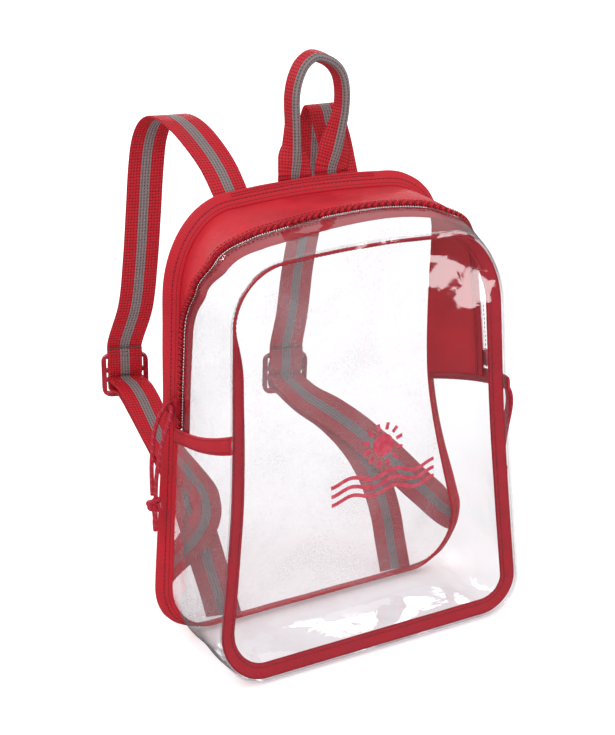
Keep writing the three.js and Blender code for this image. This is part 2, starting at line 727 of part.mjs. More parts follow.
// The adjuster's two bars sit either side of its middle, each with webbing folded round it.
const barReach = Math.hypot(adjusterBar / 2, adjusterThickness / 2);
const foldRadius = barReach + gap + webbingThickness / 2;
const barOffset = foldRadius + webbingThickness / 2 + gap;
const layerOffset = adjusterThickness / 2 + gap + webbingThickness / 2;
const layerStep = webbingThickness + 2 * gap;

function adjuster(axes) {
  const inner = webbingWidth / 2 + adjusterMargin;
  const outer = inner + adjusterRail;
  const top = adjusterHeight / 2;
  const shape = new THREE.Shape();
  shape.moveTo(-outer + adjusterRound, -top);
  shape.lineTo(outer - adjusterRound, -top);
  shape.absarc(outer - adjusterRound, -top + adjusterRound, adjusterRound, -Math.PI / 2, 0);
  shape.absarc(outer - adjusterRound, top - adjusterRound, adjusterRound, 0, Math.PI / 2);
  shape.absarc(-outer + adjusterRound, top - adjusterRound, adjusterRound, Math.PI / 2, Math.PI);
  shape.absarc(-outer + adjusterRound, -top + adjusterRound, adjusterRound, Math.PI, 1.5 * Math.PI);
  const windows = [
    [barOffset + adjusterBar / 2, top - adjusterRim],
    [-barOffset + adjusterBar / 2, barOffset - adjusterBar / 2],
    [-top + adjusterRim, -barOffset - adjusterBar / 2],
  ];
  for (const [low, high] of windows) {
    const hole = new THREE.Path();
    hole.moveTo(-inner, low);
    hole.lineTo(-inner, high);
    hole.lineTo(inner, high);
    hole.lineTo(inner, low);
    hole.closePath();
    shape.holes.push(hole);
  }
  const geometry = new THREE.ExtrudeGeometry(shape, {
    depth: adjusterThickness, bevelEnabled: false, curveSegments: 4,
  });
  geometry.translate(0, 0, -adjusterThickness / 2);
  const depthAxis = axes.acrossAxis.clone().cross(axes.upAxis);
  const basis = new THREE.Matrix4().makeBasis(axes.acrossAxis, axes.upAxis, depthAxis);
  basis.setPosition(axes.middle);
  return geometry.applyMatrix4(basis);
}

// Webbing turned round a bar, from the far side of the adjuster to the near side: sweep is the
// share of half a turn.
function foldRound(axes, bar, below, sweep) {
  return [0, 0.25, 0.5, 0.75, 1].map((share) => {
    const angle = Math.PI * share * sweep;
    const rise = bar + (below ? -1 : 1) * foldRadius * Math.sin(angle);
    return { place: axes.at(rise, -foldRadius * Math.cos(angle)), aim: axes.acrossAxis };
  });
}

// The shoulder strap, from behind the top tape to its hem in front of the adjuster.
function upperStrap(strap) {
  const axes = adjusterAxes(strap.adjuster);
  const rim = adjusterHeight / 2;
  const plain = (rise, out) => ({ place: axes.at(rise, out), aim: axes.acrossAxis });
  const hemTop = barOffset + hemLength;
  return webbing([
    ...flangeTuck(strap),
    ...strap.upper.map(station),
    plain(rim + strapRunIn, layerOffset),
    plain(rim - adjusterRim / 2, layerOffset),
    plain(rim - adjusterRim - gap - webbingThickness / 2, layerOffset),
    plain(barOffset + adjusterBar + gap, -layerOffset),
    ...foldRound(axes, barOffset, true, 1),
    plain(rim - adjusterRim, layerOffset + layerStep),
    plain(Math.max(hemTop, rim), layerOffset + layerStep),
  ]);
}

// The lower webbing: its tail, the turn through the adjuster's lower window, and the run to the
// foot corner.
function lowerStrap(strap) {
  const axes = adjusterAxes(strap.adjuster);
  const window = (adjusterHeight / 2 - adjusterRim + barOffset + adjusterBar / 2) / 2;
  return webbing([
    ...strap.tail.map(station).reverse(),
    { place: axes.at(-window, webbingThickness), aim: axes.acrossAxis },
    ...foldRound(axes, -barOffset, false, lowerSweep),
    ...strap.lower.map(station),
    ...cornerTuck(strap),
  ]);
}

// The middle of a layer of webbing sewn behind the back seam's tape.
const tuckHeight = (layer) => flangeThickness + tuckGap + webbingThickness / 2
  + layer * (webbingThickness + tuckGap);

// The place round the body at which the top seam has a given x.
function topPlace(x) {
  const [start, end] = [2, 3].map((place) => onSeam(backSeam, place).x);
  return 2 + THREE.MathUtils.clamp((x - start) / (end - start), 0, 0.999);
}

// Two stations that lay webbing flat against the back of the top tape.
function flangeTuck({ topAcross, topLayer }) {
  const place = topPlace(topAcross * halfWidth);
  const along = onFlange(place + 0.02, 0, 0).sub(onFlange(place - 0.02, 0, 0)).normalize();
  return [0.15, 1].map((share) => ({
    place: onFlange(place, share * flangeWidth, tuckHeight(topLayer)),
    aim: along,
  }));
}

// Webbing with whatever would touch the back seam's tape cut away.
function cutByFlange(geometry) {
  const places = placesBetween(0, stretches).slice(0, -1);
  const guard = solidOf(loft(places.map((place) => ({
    outer: [-gap, flangeWidth + gap].map((across) => onFlange(place, across, -gap)),
    inner: [-gap, flangeWidth + gap].map((across) => onFlange(place, across, flangeThickness + gap)),
  })), true));
  const pieces = solidOf(geometry).subtract(guard).decompose();
  const largest = pieces.reduce((best, piece) => (piece.volume() > best.volume() ? piece : best));
  return geometryOf(largest);
}

// Webbing that ends behind the tape at a foot corner, its width along the tape.
function cornerTuck({ cornerPlace, cornerRise, lower }) {
  const up = onFlange(cornerPlace + 0.02, 0, 0).sub(onFlange(cornerPlace - 0.02, 0, 0)).normalize();
  if (up.z < 0) up.negate();
  const aim = up.clone();
  if (aim.dot(station(lower[lower.length - 1]).aim) < 0) aim.negate();
  return [
    { place: onFlange(cornerPlace, 0, tuckHeight(0)).addScaledVector(up, cornerRise), aim },
    { place: onFlange(cornerPlace, 0.9 * flangeWidth, tuckHeight(0)), aim },
  ];
}

// The carry loop: webbing flat against the tape at both ends and folded along its middle between.
function carryHandle() {
  const half = webbingWidth / 2;
  const front = tuckHeight(0) + webbingThickness / 2;
  const xOf = (row) => handleX + (row.across * handleSpread) / 2;
  const top = onFlange(topPlace(handleX), flangeWidth, front);
  const rows = handleTable.map((row) => ({
    place: new THREE.Vector3(xOf(row), top.y, top.z + row.up * handleHeight),
    fold: row.fold,
  }));
  const ends = [handleTable[0], handleTable[handleTable.length - 1]].map((row) => (
    [0.15, 1].map((share) => ({
      place: onFlange(topPlace(xOf(row)), share * flangeWidth, front),
      fold: 0,
    }))
  ));
  const stations = [...ends[0], ...rows, ...ends[1].reverse()];
  const path = new THREE.CatmullRomCurve3(stations.map((row) => row.place), false, "centripetal");
  const spans = stations.length - 1;
  const sections = [];
  for (let i = 0; i <= spans * stationSteps; i += 1) {
    const along = i / (spans * stationSteps);
    const low = Math.min(Math.floor(along * spans), spans - 1);
    const fold = THREE.MathUtils.lerp(stations[low].fold, stations[low + 1].fold, along * spans - low);
    const opening = THREE.MathUtils.degToRad(THREE.MathUtils.lerp(90, foldedAngle, fold));
    const tangent = path.getTangent(along);
    const rear = new THREE.Vector3(0, 1, 0).addScaledVector(tangent, -tangent.y).normalize();
    const side = tangent.clone().cross(rear);
    const middle = path.getPoint(along);
    const wing = (sign, reach, skin) => middle.clone()
      .addScaledVector(side, sign * (reach * Math.sin(opening) + skin * Math.cos(opening)))
      .addScaledVector(rear, reach * Math.cos(opening) - skin * Math.sin(opening));
    const crease = webbingThickness * Math.cos(opening);
    sections.push({
      outer: [wing(-1, half, webbingThickness), wing(-1, 0, webbingThickness), wing(1, 0, webbingThickness),
        wing(1, half, webbingThickness)],
      inner: [wing(-1, half, 0), wing(-1, crease, 0), wing(1, crease, 0), wing(1, half, 0)],
    });
  }
  return loft(sections);
}

// A point told from a pull's eye or middle, with x counted outwards.
function outFrom(point, side, [dx, dy, dz]) {
  return new THREE.Vector3(point.x + side * dx, point.y + dy, point.z + dz);
}

// Where a slider sits over the coil, its directions, and the middle of its eye.
function sliderSeat({ along, side, hang }) {
  const run = runBetween(bands.left, bands.right, 0, 0);
  const rowAt = (share) => {
    const from = zipFrom(share);
    const [first, last] = [run[0], run[run.length - 1]].map((row) => row.placeAt(from));
    return onGusset(THREE.MathUtils.lerp(first, last, share), from, coilRadius + gap);
  };
  const step = 0.01;
  const middle = rowAt(along);
  const up = rowAt(along + step).sub(rowAt(along - step)).normalize();
  const out = new THREE.Vector3(side, 0, 0);
  out.addScaledVector(up, -up.dot(out)).normalize();
  return { middle, up, out, across: up.clone().cross(out), eye: outFrom(middle, side, hang) };
}

// A zip slider: its body over the coil, and the eye that the pull hangs from.
function slider(seat) {
  const plate = new THREE.Shape();
  plate.moveTo(-sliderWidth / 2, -sliderLength / 4);
  plate.lineTo(-sliderWidth / 3, -sliderLength / 2);
  plate.lineTo(sliderWidth / 3, -sliderLength / 2);
  plate.lineTo(sliderWidth / 2, -sliderLength / 4);
  plate.lineTo(sliderWidth / 2, sliderLength / 2);
  plate.lineTo(-sliderWidth / 2, sliderLength / 2);
  plate.closePath();
  const body = new THREE.ExtrudeGeometry(plate, { depth: sliderThickness, bevelEnabled: false });
  const basis = new THREE.Matrix4().makeBasis(seat.across, seat.up, seat.out);
  basis.setPosition(seat.middle);
  const eye = new THREE.TorusGeometry(eyeRadius, eyeWire, 6, 12);
  eye.rotateX(Math.PI / 2);
  eye.translate(...seat.eye.toArray());
  const root = seat.middle.clone().addScaledVector(seat.out, sliderThickness / 2);
  const reach = seat.eye.clone().sub(root);
  reach.setLength(reach.length() - eyeRadius);
  const bridge = new THREE.BoxGeometry(bridgeWidth, bridgeWidth, reach.length());
  bridge.translate(0, 0, reach.length() / 2);
  const towardsEye = reach.clone().normalize();
  bridge.applyQuaternion(new THREE.Quaternion().setFromUnitVectors(new THREE.Vector3(0, 0, 1), towardsEye));
  bridge.translate(...root.toArray());
  return geometryOf(solidOf(body, basis).add(solidOf(bridge)).add(solidOf(eye)));
}

// One strand of a pull's cord, from the eye to the knot.
function strand(eye, side, points) {
  const path = new THREE.CatmullRomCurve3(points.map((point) => outFrom(eye, side, point)));
  const section = new THREE.Shape();
  section.absarc(0, 0, cordDiameter / 2, 0, 2 * Math.PI);
  return new THREE.ExtrudeGeometry(section, {
    steps: 20, bevelEnabled: false, extrudePath: path, curveSegments: 4,
  });
}

// The knot that joins the strands, with the cord's two ends below it.
function knot(middle) {
  const ball = new THREE.SphereGeometry(knotRadius, 12, 8);
  let solid = solidOf(ball, new THREE.Matrix4().setPosition(middle));
  for (const turn of [-1, 1]) {
    const tail = new THREE.CylinderGeometry(cordDiameter / 2, cordDiameter / 2, knotRadius + cordTail, 8);
    tail.rotateX(Math.PI / 2);
    const drop = -(knotRadius + cordTail) / 2;
    tail.translate(middle.x, middle.y + (turn * cordDiameter) / 2.2, middle.z + drop);
    solid = solid.add(solidOf(tail));
  }
  return geometryOf(solid);
}

addBody();
add("back_binding", backBinding(), "tape");
add("front_binding", frontBinding(), "tape");
for (const [side, band] of Object.entries(bands)) {
  add(`side_band_${side}`, sideBand(band), "tape");
}
add("carry_handle", cutByFlange(carryHandle()), "webbing");
for (const [side, strap] of Object.entries(straps)) {
  add(`strap_upper_${side}`, cutByFlange(upperStrap(strap)), "webbing");
  add(`strap_lower_${side}`, cutByFlange(lowerStrap(strap)), "webbing");
  add(`strap_adjuster_${side}`, adjuster(adjusterAxes(strap.adjuster)), "moulding");
}
for (const [side, pull] of Object.entries(pulls)) {
  const seat = sliderSeat(pull);
  add(`zip_slider_${side}`, slider(seat), "moulding");
  add(`pull_cord_rear_${side}`, strand(seat.eye, pull.side, pull.rear), "cord");
  add(`pull_cord_fore_${side}`, strand(seat.eye, pull.side, pull.fore), "cord");
  add(`pull_knot_${side}`, knot(outFrom(seat.eye, pull.side, pull.knot)), "cord");
}

export default group;
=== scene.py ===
import math

import bmesh
import bpy
import numpy as np
from mathutils import Matrix, Vector, noise


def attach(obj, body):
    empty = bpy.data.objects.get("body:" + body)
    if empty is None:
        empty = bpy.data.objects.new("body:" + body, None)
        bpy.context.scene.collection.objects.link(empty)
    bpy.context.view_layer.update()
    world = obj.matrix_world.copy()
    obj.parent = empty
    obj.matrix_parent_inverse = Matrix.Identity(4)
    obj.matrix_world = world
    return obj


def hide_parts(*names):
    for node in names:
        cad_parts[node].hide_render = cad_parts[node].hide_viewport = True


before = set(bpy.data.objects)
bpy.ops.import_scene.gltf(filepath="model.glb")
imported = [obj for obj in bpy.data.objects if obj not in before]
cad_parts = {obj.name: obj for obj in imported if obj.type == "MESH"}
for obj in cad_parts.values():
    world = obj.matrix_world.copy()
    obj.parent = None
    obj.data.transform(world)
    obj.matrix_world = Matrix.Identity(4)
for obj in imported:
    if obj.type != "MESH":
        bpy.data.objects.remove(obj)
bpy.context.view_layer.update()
mm = 0.001
print("frame loaded")

# The camera stands where the photograph was taken.
cameraSettings = {
    "place": (-0.5538, -0.9097, 0.5653), "yaw": 30.0, "pitch": 19.3, "roll": -0.62, "lens": 83.36,
}


def addCamera(s):
    yaw, pitch, roll = (math.radians(s[k]) for k in ("yaw", "pitch", "roll"))
    ahead = Vector((math.sin(yaw) * math.cos(pitch), math.cos(yaw) * math.cos(pitch), -math.sin(pitch)))
    level = Vector((math.cos(yaw), -math.sin(yaw), 0))
    lift = level.cross(ahead)
    right = level * math.cos(roll) + lift * math.sin(roll)
    up = lift * math.cos(roll) - level * math.sin(roll)
    data = bpy.data.cameras.new("photoCamera")
    data.lens = s["lens"]
    data.sensor_width = 36
    data.clip_start, data.clip_end = 0.05, 60
    camera = bpy.data.objects.new("photoCamera", data)
    bpy.context.scene.collection.objects.link(camera)
    turn = Matrix((right, up, -ahead)).transposed().to_4x4()
    camera.matrix_world = Matrix.Translation(Vector(s["place"])) @ turn
    bpy.context.scene.camera = camera


addCamera(cameraSettings)

# The bag's own sizes and tables, in millimetres, as its solids have them. Only the inner lean at
# places 0.8 and 1 and the front tape's lap follow the look more closely than the solids do.
bag = {
    "width": 230, "height": 302, "depth": 86, "frontDrop": 15.5, "frontLean": 9,
    "backFootRise": 6.5, "frontFootRise": 3.5, "topCrown": 2.5, "shoulderRound": 45, "footRound": 35,
    "sheet": 1, "panelCrown": 4, "gap": 0.3, "tuckGap": 0.6,
}
tape = {"flange": 10, "flangeThick": 2, "inner": 10, "innerThick": 1.8, "band": 10, "bandThick": 1.8}
zipper = {"tapeWidth": 3.1, "tapeThick": 1, "lap": 12, "coil": 1.6}
web = {"width": 25, "thick": 1.5, "reach": 134, "hem": 21}
loop = {"height": 81.5, "spread": 51, "x": 7.5, "foldedAngle": 7}
ladder = {"height": 36, "thick": 3, "bar": 2.4, "rim": 3.5, "runIn": 8, "sweep": 0.72}
cordSize = {"diameter": 3}
bands = {
    "left": { "back": 0.44, "front": 0.66 },
    "right": { "back": 4.475, "front": 4.345 },
}
seamSides = {
    "back": {
        "left": {
            "shoulder": 0.857, "waist": 0.898, "waistUp": 0.545, "foot": 0.98,
            "roundAcross": 0.93, "roundDown": 1.18, "footAcross": 0.86, "footUp": 1,
        },
        "right": {
            "shoulder": 0.857, "waist": 0.843, "waistUp": 0.505, "foot": 1.04,
            "roundAcross": 0.91, "roundDown": 0.8, "footAcross": 1, "footUp": 1.2,
        },
    },
    "front": {
        "left": {
            "shoulder": 0.889, "waist": 0.935, "waistUp": 0.444, "foot": 1.03,
            "roundAcross": 0.95, "roundDown": 0.9, "footAcross": 0.94, "footUp": 1.2,
        },
        "right": {
            "shoulder": 0.889, "waist": 0.925, "waistUp": 0.465, "foot": 1.004,
            "roundAcross": 0.95, "roundDown": 1.2, "footAcross": 0.8, "footUp": 0.8,
        },
    },
}
swellTable = [
    { "place": 0, "share": 0.02 },
    { "place": 0.6, "share": 0.05 },
    { "place": 1, "share": 0.02 },
    { "place": 2.5, "share": 0.035 },
    { "place": 4, "share": 0.085 },
    { "place": 5, "share": 0.075 },
    { "place": 6.5, "share": 0.1 },
    { "place": 7.5, "share": 0.04 },
    { "place": 8, "share": 0.02 },
]
dentTable = [
    { "place": 1.35, "from": 0.2, "depth": 0.016, "spread": 0.16 },
    { "place": 1.8, "from": 0.24, "depth": 0.02, "spread": 0.2 },
    { "place": 2.6, "from": 0.18, "depth": 0.017, "spread": 0.22 },
    { "place": 3.4, "from": 0.25, "depth": 0.02, "spread": 0.2 },
    { "place": 1.5, "from": 0.75, "depth": 0.02, "spread": 0.15 },
    { "place": 3.2, "from": 0.72, "depth": 0.025, "spread": 0.18 },
    { "place": 5.3, "from": 0.6, "depth": 0.03, "spread": 0.25 },
    { "place": 7.6, "from": 0.5, "depth": 0.025, "spread": 0.3 },
]
zipTable = [
    { "along": 0, "from": 0.085 },
    { "along": 0.09, "from": 0.09 },
    { "along": 0.16, "from": 0.3 },
    { "along": 0.23, "from": 0.44 },
    { "along": 0.34, "from": 0.56 },
    { "along": 0.56, "from": 0.48 },
    { "along": 0.72, "from": 0.62 },
    { "along": 0.87, "from": 0.46 },
    { "along": 1, "from": 0.58 },
]
# How much of its lap under the clear strip the front zip tape keeps along the zip.
lapTable = [
    { "along": 0, "share": 1 },
    { "along": 0.7, "share": 1 },
    { "along": 0.82, "share": 0 },
    { "along": 1, "share": 0 },
]
leanTable = [
    { "place": 0, "outer": 35, "inner": 13 },
    { "place": 0.5, "outer": 60, "inner": 16 },
    { "place": 0.8, "outer": 43, "inner": 24 },
    { "place": 1, "outer": 35, "inner": 60 },
    { "place": 2, "outer": 35, "inner": 70 },
    { "place": 3, "outer": 35, "inner": 70 },
    { "place": 4, "outer": 38, "inner": 18 },
    { "place": 4.6, "outer": 44, "inner": 15 },
    { "place": 5, "outer": 27, "inner": 13 },
    { "place": 5.5, "outer": 40, "inner": 13 },
    { "place": 6, "outer": 72, "inner": 15 },
    { "place": 7, "outer": 72, "inner": 15 },
    { "place": 8, "outer": 35, "inner": 13 },
]
# A strap's rows: across in half widths, back in reaches, up in heights, turn and tilt in degrees.
straps = {
    "left": {
        "topAcross": -0.475,
        "topLayer": 0,
        "cornerPlace": 0.04,
        "cornerRise": 10,
        "upper": [
            (-0.483, 0.17, 1.061, -10, 0),
            (-0.495, 0.284, 1.097, -16, 0),
            (-0.515, 0.43, 1.132, -20, 0),
            (-0.53, 0.56, 1.147, -18, 0),
            (-0.54, 0.672, 1.143, -14, 0),
            (-0.55, 0.77, 1.119, -10, 0),
            (-0.565, 0.822, 1.077, -12, 0),
            (-0.583, 0.838, 1.018, -18, 0),
            (-0.613, 0.84, 0.909, -20, 0),
            (-0.643, 0.846, 0.795, -19, 0),
            (-0.67, 0.884, 0.679, -20, 0),
        ],
        "adjuster": { "across": -0.694, "back": 1.02, "up": 0.492, "turn": -20, "lean": -12 },
        "lower": [
            (-0.69, 0.91, 0.474, -19, 0),
            (-0.687, 0.82, 0.454, -16, 0),
            (-0.687, 0.717, 0.42, -12, -2),
            (-0.69, 0.565, 0.378, -10, -5),
            (-0.662, 0.351, 0.341, -14, -12),
            (-0.628, 0.232, 0.302, -12, -22),
            (-0.648, 0.157, 0.259, -6, -35),
            (-0.738, 0.112, 0.224, 0, -46),
        ],
        "tail": [
            (-0.69, 0.9, 0.458, -19, 0),
            (-0.685, 0.79, 0.43, -16, 0),
            (-0.675, 0.69, 0.396, -14, 0),
            (-0.655, 0.56, 0.344, -14, 0),
            (-0.648, 0.418, 0.292, -18, 0),
            (-0.657, 0.29, 0.24, -22, 2),
            (-0.655, 0.205, 0.187, -26, 4),
            (-0.64, 0.15, 0.131, -28, 6),
            (-0.612, 0.12, 0.074, -28, 6),
            (-0.58, 0.1, 0.008, -28, 6),
        ],
    },
    "right": {
        "topAcross": 0.268,
        "topLayer": 1,
        "cornerPlace": 5.1,
        "cornerRise": 0,
        "upper": [
            (0.278, 0.165, 1.088, -8, 0),
            (0.287, 0.228, 1.129, -8, 0),
            (0.295, 0.274, 1.156, -7, 0),
            (0.3, 0.33, 1.16, -6, 0),
            (0.304, 0.376, 1.137, -4, 0),
            (0.313, 0.41, 1.071, -3, 0),
            (0.322, 0.45, 0.977, -5, 0),
            (0.343, 0.57, 0.853, -6, 0),
            (0.365, 0.69, 0.732, -8, 0),
            (0.383, 0.785, 0.606, -12, 0),
        ],
        "adjuster": { "across": 0.4, "back": 0.905, "up": 0.434, "turn": -20, "lean": -14 },
        "lower": [
            (0.4, 0.8, 0.414, -19, 3),
            (0.42, 0.7, 0.398, -17, 12),
            (0.5, 0.555, 0.372, -12, 25),
            (0.588, 0.433, 0.341, -8, 31),
            (0.666, 0.351, 0.308, -5, 35),
            (0.759, 0.269, 0.268, -3, 38),
            (0.858, 0.194, 0.22, -2, 42),
            (0.95, 0.14, 0.18, 0, 46),
        ],
        "tail": [
            (0.402, 0.78, 0.395, -19, 2),
            (0.44, 0.665, 0.376, -16, 6),
            (0.52, 0.54, 0.345, -12, 4),
            (0.59, 0.44, 0.303, -8, 0),
            (0.64, 0.365, 0.258, -6, 0),
            (0.675, 0.285, 0.199, -5, 0),
            (0.69, 0.217, 0.131, -5, 0),
            (0.683, 0.16, 0.067, -5, 0),
            (0.675, 0.1, 0.005, -5, 0),
        ],
    },
}
stationColumns = ("across", "back", "up", "turn", "tilt")
for strap in straps.values():
    for part in ("upper", "lower", "tail"):
        strap[part] = [dict(zip(stationColumns, row)) for row in strap[part]]
handleTable = [
    { "across": -0.52, "up": 0.05, "fold": 0 },
    { "across": -0.46, "up": 0.15, "fold": 0.25 },
    { "across": -0.42, "up": 0.27, "fold": 0.8 },
    { "across": -0.42, "up": 0.44, "fold": 1 },
    { "across": -0.42, "up": 0.68, "fold": 1 },
    { "across": -0.3, "up": 0.825, "fold": 1 },
    { "across": -0.1, "up": 0.925, "fold": 1 },
    { "across": 0.19, "up": 0.975, "fold": 1 },
    { "across": 0.49, "up": 0.955, "fold": 1 },
    { "across": 0.79, "up": 0.9, "fold": 1 },
    { "across": 0.99, "up": 0.815, "fold": 1 },
    { "across": 1.08, "up": 0.69, "fold": 1 },
    { "across": 1.06, "up": 0.53, "fold": 1 },
    { "across": 0.93, "up": 0.35, "fold": 0.75 },
    { "across": 0.76, "up": 0.19, "fold": 0.25 },
    { "across": 0.58, "up": 0.05, "fold": 0 },
]
pulls = {
    "left": {
        "along": 0.025,
        "side": -1,
        "hang": [4.5, 2, -0.3],
        "rear": [
            [0, 0.2, 0], [0.1, 1.8, 0], [1.1, 3.6, -0.9], [3, 5, -3.2], [5.4, 5.6, -6.8],
            [7.6, 5.5, -11.4], [9.5, 5.1, -16.6], [11, 4.6, -22], [12.2, 4, -27.8], [13.1, 3.5, -33.8],
            [13.8, 3.1, -39.8], [14.2, 2.7, -45.6], [14.4, 2.4, -51], [14.5, 2.2, -56], [14.5, 2, -60.2],
        ],
        "fore": [
            [0, -0.2, 0], [0.1, -1.8, 0], [0.8, -3.6, -0.9], [2, -4.8, -3.4], [3.6, -5.3, -7.2],
            [5.3, -5.2, -11.8], [7.1, -4.8, -17], [8.8, -4.3, -22.4], [10.2, -3.8, -28], [11.4, -3.3, -34],
            [12.4, -2.9, -39.8], [13.1, -2.5, -45.6], [13.6, -2.2, -51], [13.9, -2, -56], [14.1, -1.9, -60.2],
        ],
        "knot": [14.3, 0, -66.3],
    },
    "right": {
        "along": 0.985,
        "side": 1,
        "hang": [8.4, -8.6, -17.7],
        "rear": [
            [0, 0.2, 0], [0.3, 2, 0.1], [2.2, 4.2, 0.2], [5.2, 5.6, -0.8], [8.6, 6.2, -3.6],
            [11.2, 6.1, -8], [12.2, 5.6, -13.2], [11.9, 5, -18.8], [10.6, 4.4, -24.6], [8.9, 3.9, -30.6],
            [7.1, 3.4, -36.8], [5.6, 3, -42.8], [4.5, 2.6, -49], [3.8, 2.3, -54.8], [3.5, 2.1, -60.2],
        ],
        "fore": [
            [0, -0.2, 0], [0.2, -2, 0.1], [1.5, -4, -0.2], [3.4, -5.2, -2.2], [5.4, -5.6, -5.8],
            [6.8, -5.5, -10.4], [7.3, -5.1, -15.6], [7.1, -4.6, -21], [6.4, -4.1, -26.6], [5.6, -3.6, -32.4],
            [4.8, -3.2, -38.4], [4.2, -2.8, -44.4], [3.8, -2.4, -50.2], [3.6, -2.2, -55.4], [3.5, -2, -60.2],
        ],
        "knot": [3.5, 0, -66.3],
    },
}
half = bag["width"] / 2
backPlane = bag["depth"] / 2


# Curves, as arrays of millimetres.
def eased(table, key, at, column):
    keys = np.array([row[key] for row in table], float)
    values = np.array([row[column] for row in table], float)
    at = np.clip(at, keys[0], keys[-1])
    low = np.clip(np.searchsorted(keys, at, side="right") - 1, 0, len(keys) - 2)
    t = (at - keys[low]) / (keys[low + 1] - keys[low])
    return values[low] + (values[low + 1] - values[low]) * t * t * (3 - 2 * t)


def bezier(points, t):
    points = [np.array(p, float) for p in points]
    while len(points) > 1:
        points = [a + (b - a) * t for a, b in zip(points, points[1:])]
    return points[0]


def evenSpline(points, t):
    last = len(points) - 1
    i = min(int(t * last), last)
    w = t * last - i
    a, b, c, d = (np.array(points[min(max(j, 0), last)], float) for j in (i - 1, i, i + 1, i + 2))
    v, u = (c - a) / 2, (d - b) / 2
    return (2 * b - 2 * c + v + u) * w ** 3 + (3 * c - 3 * b - 2 * v - u) * w ** 2 + v * w + b


def centripetal(points, steps):
    p = np.array(points, float)
    p = np.vstack([2 * p[0] - p[1], p, 2 * p[-1] - p[-2]])
    line = []
    for i in range(1, len(p) - 2):
        gaps = [max(np.linalg.norm(p[j + 1] - p[j]) ** 0.5, 1e-4) for j in (i - 1, i, i + 1)]
        a, b, c = gaps
        slopeIn = ((p[i] - p[i - 1]) / a - (p[i + 1] - p[i - 1]) / (a + b) + (p[i + 1] - p[i]) / b) * b
        slopeOut = ((p[i + 1] - p[i]) / b - (p[i + 2] - p[i]) / (b + c) + (p[i + 2] - p[i + 1]) / c) * b
        for k in range(steps):
            t = k / steps
            line.append((2 * p[i] - 2 * p[i + 1] + slopeIn + slopeOut) * t ** 3
                        + (3 * p[i + 1] - 3 * p[i] - 2 * slopeIn - slopeOut) * t ** 2 + slopeIn * t + p[i])
    line.append(p[-2])
    return np.array(line)


def unit(v):
    return v / np.linalg.norm(v, axis=-1, keepdims=True)


def seamLine(sides, top, base):
    ends = {}
    for side, sign in (("left", -1), ("right", 1)):
        row = sides[side]
        foot = np.array([sign * row["foot"] * half, base + row["footUp"] * bag["footRound"]])
        waist = np.array([sign * row["waist"] * half, row["waistUp"] * bag["height"]])
        shoulder = np.array([sign * row["shoulder"] * half, top - row["roundDown"] * bag["shoulderRound"]])
        crown = np.array([shoulder[0] - sign * row["roundAcross"] * bag["shoulderRound"], top])
        sole = np.array([foot[0] - sign * row["footAcross"] * bag["footRound"], base])
        upper = [shoulder, shoulder + unit(shoulder - waist) * 0.55 * (crown[1] - shoulder[1]),
                 [crown[0] + sign * 0.55 * abs(shoulder[0] - crown[0]), top], crown]
        lower = [sole, [sole[0] + sign * 0.55 * abs(foot[0] - sole[0]), base],
                 foot + unit(foot - waist) * 0.55 * (foot[1] - sole[1]), foot]
        ends[side] = (foot, waist, shoulder, crown, sole, upper, lower)
    (lf, lw, ls, lc, lo, lu, ll), (rf, rw, rs, rc, ro, ru, rl) = ends["left"], ends["right"]
    middle = [(lc[0] + rc[0]) / 2, top + 2 * bag["topCrown"]]
    parts = [
        lambda t: evenSpline([lf, lw, ls], t),
        lambda t: bezier(lu, t),
        lambda t: bezier([lc, middle, rc], t),
        lambda t: bezier(ru[::-1], t),
        lambda t: evenSpline([rs, rw, rf], t),
        lambda t: bezier(rl[::-1], t),
        lambda t: bezier([ro, lo], t),
        lambda t: bezier(ll, t),
    ]
    places = np.linspace(0, 8, 1601)
    flat = np.array([parts[min(int(p), 7)](p - min(int(p), 7)) for p in places])
    return places, flat[:, 0], flat[:, 1]


backSeam = seamLine(seamSides["back"], bag["height"] - bag["topCrown"], bag["backFootRise"])
frontTop = bag["height"] - bag["frontDrop"]
frontSeam = seamLine(seamSides["front"], frontTop - bag["topCrown"], bag["frontFootRise"])


def onSeam(line, place):
    turn = np.mod(place, 8)
    return np.stack([np.interp(turn, line[0], line[1]), np.interp(turn, line[0], line[2])], -1)


def frontY(z):
    return -backPlane + bag["frontLean"] * z / bag["height"]


def onGusset(place, share, lift):
    place, share, lift = np.broadcast_arrays(*(np.asarray(a, float) for a in (place, share, lift)))

    def blend(at):
        return onSeam(backSeam, at) * (1 - share)[..., None] + onSeam(frontSeam, at) * share[..., None]

    along = unit(blend(place + 0.02) - blend(place - 0.02))
    turn = np.mod(place, 8)
    arch = 4 * share * (1 - share)
    out = lift + eased(swellTable, "place", turn, "share") * bag["depth"] * arch
    for dent in dentTable:
        far = ((turn - dent["place"]) / dent["spread"]) ** 2 + ((share - dent["from"]) / 0.2) ** 2
        out = out - dent["depth"] * bag["depth"] * np.exp(-far) * arch
    flat = blend(place)
    x = flat[..., 0] - along[..., 1] * out
    z = np.maximum(flat[..., 1] + along[..., 0] * out, np.maximum(-lift, 0))
    y = backPlane + (frontY(flat[..., 1]) - backPlane) * share
    return np.stack([x, y, z], -1)


def seamNormal(line, place):
    along = unit(onSeam(line, place + 0.02) - onSeam(line, place - 0.02))
    return np.stack([-along[..., 1], 0 * along[..., 0], along[..., 0]], -1)


def onFlange(place, across, height):
    place, across, height = np.broadcast_arrays(*(np.asarray(a, float) for a in (place, across, height)))
    seam = onSeam(backSeam, place)
    lean = np.radians(eased(leanTable, "place", np.mod(place, 8), "outer"))
    out = bag["gap"] + tape["flangeThick"] * np.sin(lean) + across * np.cos(lean) - height * np.sin(lean)
    back = bag["gap"] + across * np.sin(lean) + height * np.cos(lean)
    point = np.stack([seam[..., 0], backPlane + back, seam[..., 1]], -1)
    return point + seamNormal(backSeam, place) * out[..., None]


